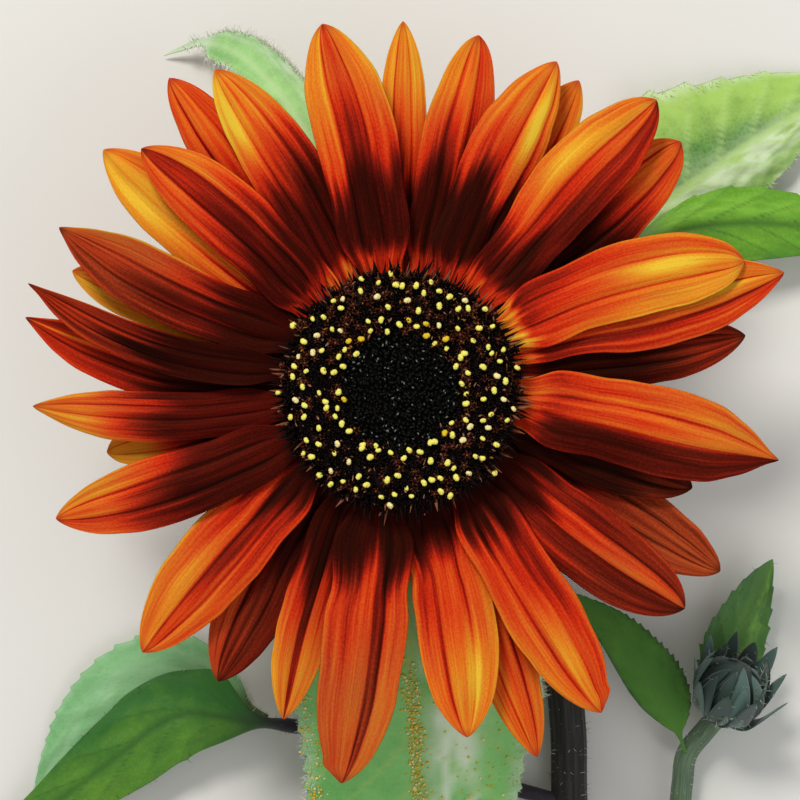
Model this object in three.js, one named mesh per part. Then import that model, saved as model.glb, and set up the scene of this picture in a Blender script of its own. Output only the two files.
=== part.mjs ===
// A cut stem of a bronze sunflower, laid on its back: one open bloom facing up, its leaves, and a side branch with a bud.
// Millimetres, +Z up. The bloom faces +Z, the stem runs towards -Y along the surface it lies on, and the origin ends
// up under the middle of the whole piece, on that surface.
import * as THREE from "three";

// Driving dimensions
const discRadius = 25; // the round face of disc florets
const faceHeight = 56; // top of the disc above the surface
const rimHeight = 50; // level at which the front ray florets leave the rim
const rimRadius = 23.1; // where their feet stand
const layerStep = 2.4; // height between one layer of ray florets and the next, away from the rim
const petalThickness = 0.8;
const leafThickness = 0.9;
const stemRadius = 3.9;
const stemStart = -62; // the neck hands over to the straight stem here
const stemEnd = -186; // the cut
const branchRadius = 2.3;
const petioleRadius = 1.6;
const stemSides = 10;
const bladeSides = 8;

const materials = {
  petal: { color: 0xb5401a, roughness: 0.62, metalness: 0 },
  disc: { color: 0x2a1712, roughness: 0.85, metalness: 0 },
  leaf: { color: 0x5f8f45, roughness: 0.6, metalness: 0 },
  shadedLeaf: { color: 0x3f6b28, roughness: 0.6, metalness: 0 },
  stem: { color: 0x3b2f2c, roughness: 0.7, metalness: 0 },
  bud: { color: 0x4a6458, roughness: 0.7, metalness: 0 },
};

const flower = new THREE.Group();

function addPart(name, geometry, finish) {
  const mesh = new THREE.Mesh(geometry, new THREE.MeshStandardMaterial(materials[finish]));
  mesh.name = name;
  flower.add(mesh);
  return mesh;
}

const smooth = (edge0, edge1, x) => THREE.MathUtils.smoothstep(x, edge0, edge1);
const point = (x, y, z) => new THREE.Vector3(x, y, z);
const polar = (radius, degrees, z) => {
  const angle = THREE.MathUtils.degToRad(degrees);
  return point(radius * Math.cos(angle), radius * Math.sin(angle), z);
};

// A closed skin over rings of equal size, with one vertex on the middle of each end.
function skin(rings, firstPole, lastPole) {
  const sides = rings[0].length;
  const vertices = [...rings.flat(), firstPole, lastPole];
  const first = vertices.length - 2;
  const last = vertices.length - 1;
  const faces = [];
  for (let side = 0; side < sides; side++) {
    const next = (side + 1) % sides;
    faces.push(first, next, side);
    for (let ring = 0; ring < rings.length - 1; ring++) {
      const here = ring * sides;
      const ahead = here + sides;
      faces.push(here + side, here + next, ahead + next);
      faces.push(here + side, ahead + next, ahead + side);
    }
    const end = (rings.length - 1) * sides;
    faces.push(last, end + side, end + next);
  }
  const geometry = new THREE.BufferGeometry();
  geometry.setAttribute(
    "position",
    new THREE.Float32BufferAttribute(vertices.flatMap((v) => [v.x, v.y, v.z]), 3),
  );
  geometry.setIndex(faces);
  geometry.computeVertexNormals();
  return geometry;
}

// A round limb: a tapering tube along a path, flat at both ends.
function limb({ path, radius, stations, sides = stemSides }) {
  const frames = path.computeFrenetFrames(stations, false);
  const rings = [];
  for (let i = 0; i <= stations; i++) {
    const u = i / stations;
    const centre = path.getPointAt(u);
    const ring = [];
    for (let side = 0; side < sides; side++) {
      const angle = (2 * Math.PI * side) / sides;
      ring.push(
        centre
          .clone()
          .addScaledVector(frames.normals[i], radius(u) * Math.cos(angle))
          .addScaledVector(frames.binormals[i], radius(u) * Math.sin(angle)),
      );
    }
    rings.push(ring);
  }
  return skin(rings, path.getPointAt(0), path.getPointAt(1));
}

// A thin blade along a spine. At each station it has a half width on each side, a half thickness, a cup that lifts
// or drops its edges, and a roll about the spine. The eight points of a station run over the top and back below.
const stationAcross = [-1, -0.5, 0, 0.5, 1, 0.5, 0, -0.5];
const stationLift = [0, 1, 1, 1, 0, -1, -1, -1];
const firstStation = 0.035; // the blade closes to a point over the rest of the spine at each end
const lastStation = 0.965;

function blade({ spine, left, right, thick, cup, roll, stations }) {
  const up = point(0, 0, 1);
  const rings = [];
  for (let i = 0; i < stations; i++) {
    const u = THREE.MathUtils.lerp(firstStation, lastStation, i / (stations - 1));
    const tangent = spine.getTangentAt(u);
    const side = tangent.clone().cross(up).normalize();
    side.applyAxisAngle(tangent, -roll(u));
    const normal = side.clone().cross(tangent);
    const ring = [];
    for (let k = 0; k < bladeSides; k++) {
      const across = stationAcross[k];
      const halfWidth = across < 0 ? left(u) : right(u);
      ring.push(
        spine
          .getPointAt(u)
          .addScaledVector(side, across * halfWidth)
          .addScaledVector(normal, cup(u) * across * across + stationLift[k] * thick(u)),
      );
    }
    rings.push(ring);
  }
  return skin(rings, spine.getPointAt(0), spine.getPointAt(1));
}

// A solid of revolution whose outermost points are drawn out into pointed teeth.
function toothedLathe({ profile, teeth, depth, from, segments }) {
  const geometry = new THREE.LatheGeometry(profile, segments);
  geometry.rotateX(Math.PI / 2);
  const position = geometry.attributes.position;
  for (let i = 0; i < position.count; i++) {
    const radius = Math.hypot(position.getX(i), position.getY(i));
    const angle = Math.atan2(position.getY(i), position.getX(i));
    const turn = angle / (2 * Math.PI) + 1.25;
    const tooth = Math.abs(((turn * teeth) % 1) - 0.5) * 2;
    const scale = radius > from ? (radius - depth * (1 - tooth)) / radius : 1;
    position.setXY(i, position.getX(i) * scale, position.getY(i) * scale);
  }
  return geometry;
}

function lathe(profile, segments) {
  const geometry = new THREE.LatheGeometry(profile.map(([r, z]) => new THREE.Vector2(r, z)), segments);
  geometry.rotateX(Math.PI / 2);
  return geometry;
}

// ---- the head: disc, receptacle and involucre ----

addPart(
  "disc",
  lathe(
    [
      [0, 46],
      [discRadius - 2.6, 46],
      [discRadius - 2.2, rimHeight + 0.2],
      [discRadius, rimHeight + 0.8],
      [discRadius - 0.6, faceHeight - 2],
      [discRadius - 5, faceHeight],
      [discRadius - 13, faceHeight - 1],
      [0, faceHeight - 1.8],
    ],
    48,
  ),
  "disc",
);

addPart(
  "receptacle",
  lathe(
    [
      [0, 31.3],
      [7, 31.3],
      [14, 33],
      [20, 37],
      [discRadius - 2.8, 41],
      [discRadius - 2.7, 45.7],
      [0, 45.7],
    ],
    36,
  ),
  "leaf",
);

const involucreReach = 37;
addPart(
  "involucre",
  toothedLathe({
    profile: [
      [12.4, 31.9],
      [12.4, 30.6],
      [20.5, 33.8],
      [25, 37.4],
      [involucreReach, 39.4],
      [involucreReach, 40],
      [discRadius - 1.7, 41],
      [20.5, 36.3],
      [12.4, 31.9],
    ].map(([r, z]) => new THREE.Vector2(r, z)),
    teeth: 21,
    depth: 9,
    from: 30,
    segments: 42,
  }),
  "leaf",
);

// ---- ray florets ----
// Each one: where its tip points (degrees round from +X), how far the tip reaches from the middle, its width, and its
// layer counted from the face. foot turns its root round the rim, bow bends it sideways, lift raises its tip, roll
// turns it about its length and keen draws out its point.
const rays = [
  { tip: 154.5, reach: 76, width: 13, layer: 1, foot: -1, bow: 2.2, lift: 2.5, keen: 1.3 },
  { tip: 160, reach: 71, width: 12, layer: 3, foot: -2, lift: 0 },
  { tip: 164, reach: 77, width: 8, layer: 0, foot: 6, bow: 4.5, lift: 7, roll: 25, keen: 1.4 },
  { tip: 169, reach: 77, width: 10.5, layer: 2, foot: 6, bow: 4.2, lift: 3, roll: 12, keen: 1.3 },
  { tip: 182.5, reach: 74, width: 10.5, layer: 1, foot: 5, bow: 2.2, lift: 2, keen: 1.2 },
  { tip: 192, reach: 61, width: 11, layer: 3, foot: -2, keen: 0.8 },
  { tip: 200.5, reach: 73.8, width: 13.5, layer: 0, foot: 4, bow: 1.5, lift: 1 },
  { tip: 225.5, reach: 74.2, width: 16, layer: 1, foot: -7, bow: -1, lift: 0 },
  { tip: 238, reach: 70, width: 14.5, layer: 3, foot: -9, bow: -1, lift: -1 },
  { tip: 250.5, reach: 70.8, width: 10.5, layer: 2, foot: -9, bow: -1, lift: 0 },
  { tip: 261.5, reach: 80, width: 16.5, layer: 0, foot: -3, bow: 1, lift: 0 },
  { tip: 281, reach: 71.2, width: 15.5, layer: 1, foot: 3, bow: 1.5, lift: 2 },
  { tip: 290.5, reach: 79.8, width: 12, layer: 3, foot: 6, lift: -1 },
  { tip: 302, reach: 76.5, width: 15.5, layer: 0, foot: 3, lift: 0 },
  { tip: 322.5, reach: 72.5, width: 15.5, layer: 1, foot: 0, bow: -1.5, lift: 0, keen: 0.9 },
  { tip: 330.5, reach: 75, width: 14, layer: 3, foot: 3, lift: -1, keen: 0.9 },
  { tip: 341.5, reach: 62.5, width: 13, layer: 2, foot: 3, lift: 0 },
  { tip: 349.5, reach: 77.5, width: 18, layer: 0, foot: 5, bow: 0.5, lift: 0, keen: 1.6 },
  { tip: 9, reach: 71, width: 12.5, layer: 2, foot: 3, bow: -1, lift: -1 },
  { tip: 17, reach: 81, width: 16.5, layer: 1, foot: 3, bow: 0, lift: 1, keen: 1.2 },
  { tip: 20.5, reach: 74, width: 15.5, layer: 0, foot: 9, bow: 3, lift: 0, keen: 0.8 },
  { tip: 41.5, reach: 76, width: 15.5, layer: 2, foot: 2, bow: -1, lift: 0, keen: 0.8 },
  { tip: 48.5, reach: 77.8, width: 16.5, layer: 0, foot: 3, bow: 1, lift: 1, keen: 0.9 },
  { tip: 60, reach: 72.8, width: 12.5, layer: 3, foot: -1, lift: 0 },
  { tip: 64.5, reach: 73.4, width: 14.5, layer: 1, foot: 1, bow: 1.5, lift: 1 },
  { tip: 77.5, reach: 73.6, width: 13.5, layer: 2, foot: -1, bow: 0, lift: 1, keen: 0.9 },
  { tip: 89.5, reach: 75, width: 9.5, layer: 3, foot: -1, lift: 1 },
  { tip: 102, reach: 75.2, width: 16.5, layer: 0, foot: -2, bow: -1.5, lift: 1, keen: 0.9 },
  { tip: 120, reach: 74.6, width: 14, layer: 1, foot: -4, bow: -1.5, lift: 1 },
  { tip: 126.5, reach: 79, width: 13, layer: 3, foot: -1, lift: 0 },
  { tip: 137, reach: 71.2, width: 15, layer: 0, foot: -2, bow: -2, lift: 0 },
  { tip: 141, reach: 77.4, width: 15, layer: 2, foot: 2, lift: 0 },
];

// Narrow claw at the root, widest a little past the middle, then in to a point.
const clawWidth = 0.27;
const widestAt = 0.55;

function petalOutline(u, keen) {
  if (u < widestAt) {
    const back = 1 - u / widestAt;
    return 1 - (1 - clawWidth) * back ** 2.2;
  }
  const on = (u - widestAt) / (1 - widestAt);
  return (1 - on ** 2.5) ** (0.75 * keen);
}

function rayFloret({ tip, reach, width, layer, foot = 0, bow = 0, lift = 0, roll = 0, keen = 1 }) {
  const root = polar(rimRadius, tip + foot, 0);
  const end = polar(reach, tip, 0);
  const along = end.clone().sub(root).normalize();
  const level = (u) => {
    const drop = layer * layerStep * (0.6 + 0.4 * smooth(0, 0.25, u));
    return rimHeight - 0.9 - drop + 3 * Math.sin(u * 2.2) + lift * u ** 3;
  };
  const sideways = point(-along.y, along.x, 0);
  const posts = [0, 0.15, 0.32, 0.5, 0.7, 0.86, 1].map((u) => {
    const place = root.clone().lerp(end, u).addScaledVector(sideways, bow * Math.sin(Math.PI * u));
    place.z = level(u);
    return place;
  });
  const half = (u) => 0.5 * width * petalOutline(u, keen);
  return blade({
    spine: new THREE.CatmullRomCurve3(posts),
    left: half,
    right: half,
    thick: (u) => 0.5 * petalThickness * (1 - 0.4 * u),
    cup: (u) => -0.9 * Math.sin(Math.PI * u),
    roll: (u) => THREE.MathUtils.degToRad(roll) * smooth(0.15, 0.6, u),
    stations: 9,
  });
}

rays.forEach((ray, i) => {
  addPart(`ray_floret_${String(i + 1).padStart(2, "0")}`, rayFloret(ray), "petal");
});

// ---- stem, neck and side branch ----

const neckPath = new THREE.CatmullRomCurve3([
  point(0, 0, 30.9),
  point(0, 0, 26.5),
  point(1.8, -2.8, 18.8),
  point(6.4, -9.6, 11.4),
  point(14, -21, 6.2),
  point(25, -40, stemRadius + 0.7),
  point(33.4, stemStart + 7, stemRadius + 0.1),
  point(35, stemStart, stemRadius),
]);
addPart(
  "neck",
  limb({
    path: neckPath,
    radius: (u) => stemRadius + 2.3 * (1 - smooth(0, 0.22, u)),
    stations: 14,
  }),
  "stem",
);

const stemPath = new THREE.CatmullRomCurve3([
  point(35.08, stemStart - 0.6, stemRadius),
  point(36.2, stemStart - 9, stemRadius),
  point(36.6, stemStart - 60, stemRadius + 0.1),
  point(36, stemEnd + 30, stemRadius + 0.2),
  point(36, stemEnd, stemRadius + 0.2),
]);
addPart(
  "stem",
  limb({ path: stemPath, radius: (u) => stemRadius + 0.2 * u, stations: 12 }),
  "stem",
);

const branchPath = new THREE.CatmullRomCurve3([
  point(41.2, -148, 4.1),
  point(44.8, -146.6, 4),
  point(50.5, -130, 3.5),
  point(57, -107, 3.2),
  point(60.6, -90, 4.2),
  point(61.9, -78.5, 5.8),
  point(64.6, -74.6, 6.2),
  point(67.6, -71.6, 7.3),
  point(68.6, -69.3, 9.3),
]);
addPart(
  "side_branch",
  limb({ path: branchPath, radius: (u) => branchRadius + 0.5 * (1 - smooth(0, 0.2, u)), stations: 14, sides: 8 }),
  "leaf",
);

// ---- leaves ----
// A leaf is a round petiole that flattens into its blade. bladeFrom says how far along the spine the blade begins,
// peak where it is widest, and square how abruptly it widens there.
function leaf({ posts, bladeFrom, left, right, peak, square = 1, cup = 0, roll = 0, curl = 0, stations = 13 }) {
  const spine = new THREE.CatmullRomCurve3(posts.map(([x, y, z]) => point(x, y, z)));
  const outline = (u) => {
    const t = (u - bladeFrom) / (1 - bladeFrom);
    if (t <= 0) return 0;
    if (t < peak) return Math.sin((0.5 * Math.PI * t) / peak) ** square;
    return (1 - ((t - peak) / (1 - peak)) ** 1.7) ** 0.85;
  };
  const stalk = (u) => petioleRadius * (1 - smooth(bladeFrom - 0.04, bladeFrom + 0.12, u));
  return blade({
    spine,
    left: (u) => Math.max(stalk(u), left * outline(u), 0.4),
    right: (u) => Math.max(stalk(u), right * outline(u), 0.4),
    thick: (u) => Math.max(stalk(u), 0.5 * leafThickness * (1 - 0.5 * u)),
    cup: (u) => cup * outline(u),
    roll: (u) => THREE.MathUtils.degToRad(roll * smooth(bladeFrom, 0.6, u) + curl * smooth(0.6, 1, u)),
    stations,
  });
}

// The broad leaf below the bloom hangs from the neck and comes down to the surface at its tip.
addPart(
  "leaf_bottom",
  leaf({
    posts: [
      [8.6, -17, 12.5],
      [4.5, -27, 22],
      [1.5, -41, 25.5],
      [2, -58, 23],
      [3.8, -82, 16],
      [5.6, -106, 8],
      [8, -130, 0.6],
    ],
    bladeFrom: 0.17,
    left: 24,
    right: 31,
    peak: 0.38,
    cup: -3,
    stations: 15,
  }),
  "leaf",
);

// Lower left: a dark leaf on a purple petiole that crosses under the broad leaf, and a paler one behind it.
addPart(
  "leaf_lower_left",
  leaf({
    posts: [
      [32.1, -88, 5],
      [14, -83, 4.6],
      [-8, -75, 6.2],
      [-33, -70.8, 9.6],
      [-47.5, -69.5, 11],
      [-60, -78, 10],
      [-75, -89.5, 6],
      [-92, -101, 1],
    ],
    bladeFrom: 0.5,
    left: 9.5,
    right: 9,
    peak: 0.2,
    square: 0.5,
    cup: -1.5,
    stations: 18,
  }),
  "shadedLeaf",
);
addPart(
  "leaf_lower_left_behind",
  leaf({
    posts: [
      [-30, -70.7, 6.7],
      [-42, -64.5, 4.6],
      [-56, -66, 4.4],
      [-68, -76.5, 3],
      [-80, -92, 0.6],
    ],
    bladeFrom: 0.06,
    left: 11,
    right: 12,
    peak: 0.36,
    square: 0.8,
    cup: -1.5,
    stations: 12,
  }),
  "leaf",
);

// Upper right: a large leaf folded along its midrib, and a smaller one in front of it.
addPart(
  "leaf_upper_right",
  leaf({
    posts: [
      [11.8, -10.2, 8.5],
      [31, 12, 3],
      [47, 33, 4.4],
      [62, 44, 8],
      [80, 56.4, 7],
      [98, 67, 0.6],
    ],
    bladeFrom: 0.46,
    left: 19.5,
    right: 12,
    peak: 0.34,
    square: 0.75,
    cup: -3,
    stations: 15,
  }),
  "leaf",
);
addPart(
  "leaf_upper_right_inner",
  leaf({
    posts: [
      [6.1, -1.6, 16.6],
      [25, 14, 12.5],
      [45, 29, 10],
      [64, 35, 13.5],
      [84, 35.4, 11],
      [104, 31.4, 4],
    ],
    bladeFrom: 0.5,
    left: 8,
    right: 8,
    peak: 0.42,
    square: 0.8,
    cup: -1,
    stations: 15,
  }),
  "leaf",
);

// Leafy bracts from the back of the head: one curls over at the upper left and rests its tip on the surface.
addPart(
  "bract_upper_left",
  leaf({
    posts: [
      [-9, 20.4, 34.2],
      [-14, 37, 35],
      [-20.6, 55, 32.5],
      [-27.7, 65, 24.5],
      [-35.3, 72.4, 13.5],
      [-43.2, 75, 5.6],
      [-51.5, 72.8, 0.8],
    ],
    bladeFrom: 0.02,
    left: 4.8,
    right: 6.2,
    peak: 0.52,
    cup: 0.8,
    curl: -40,
    stations: 13,
  }),
  "leaf",
);
addPart(
  "bract_lower_right",
  leaf({
    posts: [
      [10.5, -19.5, 34],
      [17, -33, 34],
      [24, -47, 32],
      [31, -60, 26],
    ],
    bladeFrom: 0.02,
    left: 4.6,
    right: 4.6,
    peak: 0.5,
    cup: -0.8,
    stations: 9,
  }),
  "shadedLeaf",
);

// ---- the bud on the side branch ----

const budCentre = point(70.2, -64.2, 14);
const budAxis = point(0.22, 0.72, 0.66).normalize();
const budLength = 14;
const budRadius = 7;
const budTurn = new THREE.Quaternion().setFromUnitVectors(point(0, 0, 1), budAxis);

function placeOnBud(mesh) {
  mesh.quaternion.copy(budTurn);
  mesh.position.copy(budCentre);
}

placeOnBud(
  addPart(
    "bud",
    lathe(
      [
        [0, -0.34 * budLength],
        [0.55 * budRadius, -0.32 * budLength],
        [0.95 * budRadius, -0.08 * budLength],
        [budRadius, 0.16 * budLength],
        [0.75 * budRadius, 0.38 * budLength],
        [0.3 * budRadius, 0.48 * budLength],
        [0, 0.5 * budLength],
      ],
      18,
    ),
    "bud",
  ),
);
placeOnBud(
  addPart(
    "bud_bracts",
    toothedLathe({
      profile: [
        [0, -0.47 * budLength],
        [0.6 * budRadius, -0.46 * budLength],
        [1.16 * budRadius, -0.1 * budLength],
        [1.45 * budRadius, 0.3 * budLength],
        [1.38 * budRadius, 0.32 * budLength],
        [1.05 * budRadius, -0.07 * budLength],
        [0.6 * budRadius, -0.37 * budLength],
        [0, -0.39 * budLength],
      ].map(([r, z]) => new THREE.Vector2(r, z)),
      teeth: 8,
      depth: 1.6,
      from: 1.3 * budRadius,
      segments: 32,
    }),
    "bud",
  ),
);

addPart(
  "bud_leaf_left",
  leaf({
    posts: [
      [61, -76.6, 8.5],
      [56.8, -65.5, 11.5],
      [48.5, -54, 13.4],
      [37.5, -43.3, 14],
    ],
    bladeFrom: 0.04,
    left: 6.2,
    right: 6.2,
    peak: 0.36,
    cup: 0.8,
    stations: 11,
  }),
  "shadedLeaf",
);
addPart(
  "bud_leaf_right",
  leaf({
    posts: [
      [66.4, -75.8, 2.4],
      [69.6, -64, 2.6],
      [73.2, -52, 4.4],
      [77, -42.5, 6.6],
      [80.2, -36.2, 8],
    ],
    bladeFrom: 0.04,
    left: 6.8,
    right: 6.8,
    peak: 0.45,
    cup: 1.2,
    stations: 11,
  }),
  "shadedLeaf",
);

// The origin moves to the middle of the whole piece's underside.
const bounds = new THREE.Box3().setFromObject(flower, true);
const middle = bounds.getCenter(new THREE.Vector3());
flower.position.set(-middle.x, -middle.y, -bounds.min.z);
flower.updateMatrixWorld(true);

export default flower;
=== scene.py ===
import math
from functools import partial
import bmesh
import bpy
import numpy as np
from mathutils import Matrix, Vector


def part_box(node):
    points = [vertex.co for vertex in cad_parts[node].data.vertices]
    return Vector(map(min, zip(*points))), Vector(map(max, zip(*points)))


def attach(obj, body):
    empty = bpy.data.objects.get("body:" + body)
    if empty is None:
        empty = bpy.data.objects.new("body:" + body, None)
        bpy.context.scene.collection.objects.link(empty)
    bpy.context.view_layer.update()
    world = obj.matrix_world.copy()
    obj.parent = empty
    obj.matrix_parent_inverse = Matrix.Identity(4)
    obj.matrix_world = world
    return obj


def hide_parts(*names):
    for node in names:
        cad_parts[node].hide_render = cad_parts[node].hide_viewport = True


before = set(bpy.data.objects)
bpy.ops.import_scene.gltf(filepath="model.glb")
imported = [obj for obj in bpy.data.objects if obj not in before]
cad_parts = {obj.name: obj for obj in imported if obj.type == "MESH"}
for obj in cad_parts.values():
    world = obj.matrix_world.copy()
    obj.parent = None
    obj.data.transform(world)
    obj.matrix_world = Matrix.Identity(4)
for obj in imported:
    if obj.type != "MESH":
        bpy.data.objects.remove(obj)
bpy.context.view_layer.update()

mm = 0.001
fullTurn = 2 * math.pi
goldenAngle = math.pi * (3 - math.sqrt(5))
# In close packing each floret takes this share of its spacing squared.
packing = 0.866
# How many points the solids have round a leaf or petal, round the stem and round the branch.
sidesOfBlade = 8
sidesOfStem = 10
sidesOfBranch = 8


# The linear colour of an sRGB hex code.
def linear(code):
    parts = [int(code[i : i + 2], 16) / 255 for i in (1, 3, 5)]
    return [p / 12.92 if p <= 0.04045 else ((p + 0.055) / 1.055) ** 2.4 for p in parts] + [1.0]


# Values go to the sockets in order or by name. Gives one output, or the node itself when output is None.
def addNode(tree, kind, values=(), output=0, **settings):
    node = tree.nodes.new(kind)
    for name, value in settings.items():
        setattr(node, name, value)
    for socket, value in values.items() if isinstance(values, dict) else enumerate(values):
        if isinstance(value, bpy.types.NodeSocket):
            tree.links.new(value, node.inputs[socket])
        else:
            node.inputs[socket].default_value = value
    return node if output is None else node.outputs[output]


def ease(low, high, x):
    t = np.clip((x - low) / (high - low), 0, 1)
    return t * t * (3 - 2 * t)


def bell(x, centre, width):
    return np.exp(-(((x - centre) / width) ** 2))


# Value noise from -0.5 to 0.5, the same on every run.
def softNoise(x, y, seed):
    x, y = np.broadcast_arrays(np.asarray(x, float), np.asarray(y, float))
    column, row = np.floor(x), np.floor(y)
    acrossCell, upCell = x - column, y - row
    acrossCell = acrossCell**2 * (3 - 2 * acrossCell)
    upCell = upCell**2 * (3 - 2 * upCell)

    def corner(i, j):
        wave = np.sin(i * 127.1 + j * 311.7 + seed * 74.7) * 43758.5453
        return wave - np.floor(wave)

    low = corner(column, row) * (1 - acrossCell) + corner(column + 1, row) * acrossCell
    high = corner(column, row + 1) * (1 - acrossCell) + corner(column + 1, row + 1) * acrossCell
    return low * (1 - upCell) + high * upCell - 0.5


# How far along a line of points each of them lies, from 0 to 1, and the line's length.
def knotsOf(points):
    steps = np.linalg.norm(np.diff(points, axis=0), axis=1)
    return np.concatenate([[0], np.cumsum(steps)]) / steps.sum(), steps.sum()


# A smooth curve through values given at uneven knots.
def throughPoints(knots, values, at):
    slopes = np.gradient(values, knots, axis=0)
    span = np.clip(np.searchsorted(knots, at, side="right") - 1, 0, len(knots) - 2)
    shape = (-1,) + (1,) * (values.ndim - 1)
    width = (knots[span + 1] - knots[span]).reshape(shape)
    t = (at - knots[span]).reshape(shape) / width
    start, end = values[span], values[span + 1]
    leave, arrive = slopes[span] * width, slopes[span + 1] * width
    blend = (2 * t**3 - 3 * t**2 + 1) * start + (t**3 - 2 * t**2 + t) * leave
    return blend + (3 * t**2 - 2 * t**3) * end + (t**3 - t**2) * arrive


def unit(vectors):
    return vectors / np.maximum(np.linalg.norm(vectors, axis=-1, keepdims=True), 1e-12)


# The solid of a CAD node with its doubled points joined.
def welded(node):
    mesh = bmesh.new()
    mesh.from_mesh(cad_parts[node].data)
    bmesh.ops.remove_doubles(mesh, verts=mesh.verts, dist=0.001 * mm)
    mesh.verts.index_update()
    return mesh


# The turn and direction of a ring of points that lie nearest to the guide's.
def matched(ring, guide):
    best, bestGap = ring, math.inf
    for turned in (ring, ring[::-1]):
        for shift in range(len(ring)):
            candidate = np.roll(turned, shift, axis=0)
            gap = ((candidate - candidate.mean(0) - guide + guide.mean(0)) ** 2).sum()
            if gap < bestGap:
                best, bestGap = candidate, gap
    return best


# The node is rings of points between two end points. They are walked from the end nearer to rootNode.
def walkRings(node, sides, rootNode):
    mesh = welded(node)
    poles = [vertex for vertex in mesh.verts if len(vertex.link_edges) == sides]
    rootPoints = np.array([vertex.co[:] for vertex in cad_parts[rootNode].data.vertices])
    poles.sort(key=lambda vertex: np.linalg.norm(rootPoints - np.array(vertex.co), axis=1).min())
    first, last = poles
    layer = [edge.other_vert(first) for edge in first.link_edges]
    seen = {first}
    rings = []
    while len(layer) == sides:
        layer.sort(key=lambda vertex: vertex.index)
        ring = [layer[0]]
        while len(ring) < sides:
            around = [edge.other_vert(ring[-1]) for edge in ring[-1].link_edges]
            ring.append(next(vertex for vertex in around if vertex in layer and vertex not in ring))
        rings.append(np.array([vertex.co[:] for vertex in ring]))
        seen |= set(layer)
        layer = list({edge.other_vert(vertex) for vertex in ring for edge in vertex.link_edges} - seen)
    ends = np.array(first.co), np.array(last.co)
    mesh.free()
    return rings, ends


# A blade's rings in one order: left edge, over the top, right edge, back below.
def readBlade(node, rootNode):
    rings, (start, tip) = walkRings(node, sidesOfBlade, rootNode)
    half = sidesOfBlade // 2
    spans = [[np.linalg.norm(ring[k] - ring[k + half]) for k in range(half)] for ring in rings]
    widest = int(np.argmax([max(span) for span in spans]))
    ring = np.roll(rings[widest], -int(np.argmax(spans[widest])), axis=0)
    along = rings[min(widest + 1, len(rings) - 1)].mean(0) - rings[max(widest - 1, 0)].mean(0)
    rightward = np.cross(along, (0, 0, 1))
    if (ring[half] - ring[0]) @ rightward < 0:
        ring = np.roll(ring, half, axis=0)
    if (ring[2] - ring[2 + half]) @ np.cross(rightward, along) < 0:
        ring = np.roll(ring[::-1], 1, axis=0)
    rings[widest] = ring
    for i in range(widest - 1, -1, -1):
        rings[i] = matched(rings[i], rings[i + 1])
    for i in range(widest + 1, len(rings)):
        rings[i] = matched(rings[i], rings[i - 1])
    stack = np.array(rings)
    centre = (stack[:, 2] + stack[:, 6]) / 2
    blade = {"thick": np.linalg.norm(stack[:, 2] - stack[:, 6], axis=1) / 2}
    for side, edge, upper, lower in (("left", 0, 1, 7), ("right", 4, 3, 5)):
        halfway = (stack[:, upper] + stack[:, lower]) / 2 - centre
        whole = stack[:, edge] - centre
        reach = 4 * halfway - whole
        blade[side] = unit(reach)
        blade[side + "Width"] = np.linalg.norm(reach, axis=1)
        blade[side + "Cup"] = 2 * whole - 4 * halfway
    blade["spine"] = np.vstack([start, centre, tip])
    blade["knots"], blade["length"] = knotsOf(blade["spine"])
    return blade


# A blade's middle surface by station and column, with its normals, half widths and half thickness.
def bladeGrid(blade, along, place, widen, tipPower=0.75):
    knots = blade["knots"]

    def spread(values, atRoot, atTip):
        return throughPoints(knots, np.concatenate([[atRoot], values, [atTip]]), along)

    centre = throughPoints(knots, blade["spine"], along)
    grid = np.repeat(centre[:, None, :], place.shape[1], axis=1)
    widths = {}
    for side, sign in (("left", -1), ("right", 1)):
        direction = blade[side]
        direction = unit(spread(direction, direction[0], direction[-1]))
        width, cup = blade[side + "Width"] ** (1 / tipPower), blade[side + "Cup"]
        widths[sign] = np.clip(spread(width, width[0], 0), 0, None) ** tipPower * widen(along, sign)
        share = np.clip(place * sign, 0, None)[..., None]
        grid += share * (direction * widths[sign][:, None])[:, None]
        grid += share**2 * spread(cup, cup[0], np.zeros(3))[:, None]
    normal = unit(np.cross(np.gradient(grid, axis=1), np.gradient(grid, axis=0)))
    thick = spread(blade["thick"], blade["thick"][0], blade["thick"][-1])
    width = np.where(place < 0, widths[-1][:, None], widths[1][:, None])
    return grid, normal, width, thick


def meshFrom(name, vertices, faces, uv=None, attributes=None, material=None):
    mesh = bpy.data.meshes.new(name)
    mesh.from_pydata([tuple(vertex) for vertex in vertices], [], faces)
    mesh.polygons.foreach_set("use_smooth", [True] * len(mesh.polygons))
    if uv is not None:
        corners = np.empty(len(mesh.loops), np.int32)
        mesh.loops.foreach_get("vertex_index", corners)
        mesh.uv_layers.new(name="UVMap").data.foreach_set("uv", np.asarray(uv, float)[corners].ravel())
    for key, values in (attributes or {}).items():
        mesh.attributes.new(key, "FLOAT", "POINT").data.foreach_set("value", np.asarray(values, float))
    if material is not None:
        mesh.materials.append(material)
    mesh.update()
    return mesh


# The faces between rings of points. With poles, the two points after the rings close the two end rings.
def ringFaces(rings, sides, poles=False):
    faces = []
    neighbours = [(k, (k + 1) % sides) for k in range(sides)]
    for start in range(0, (rings - 1) * sides, sides):
        faces += [(start + k, start + n, start + sides + n, start + sides + k) for k, n in neighbours]
    first = rings * sides
    end = first - sides
    for k, n in neighbours if poles else ():
        faces += [(first, n, k), (first + 1, end + k, end + n)]
    return faces


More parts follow.
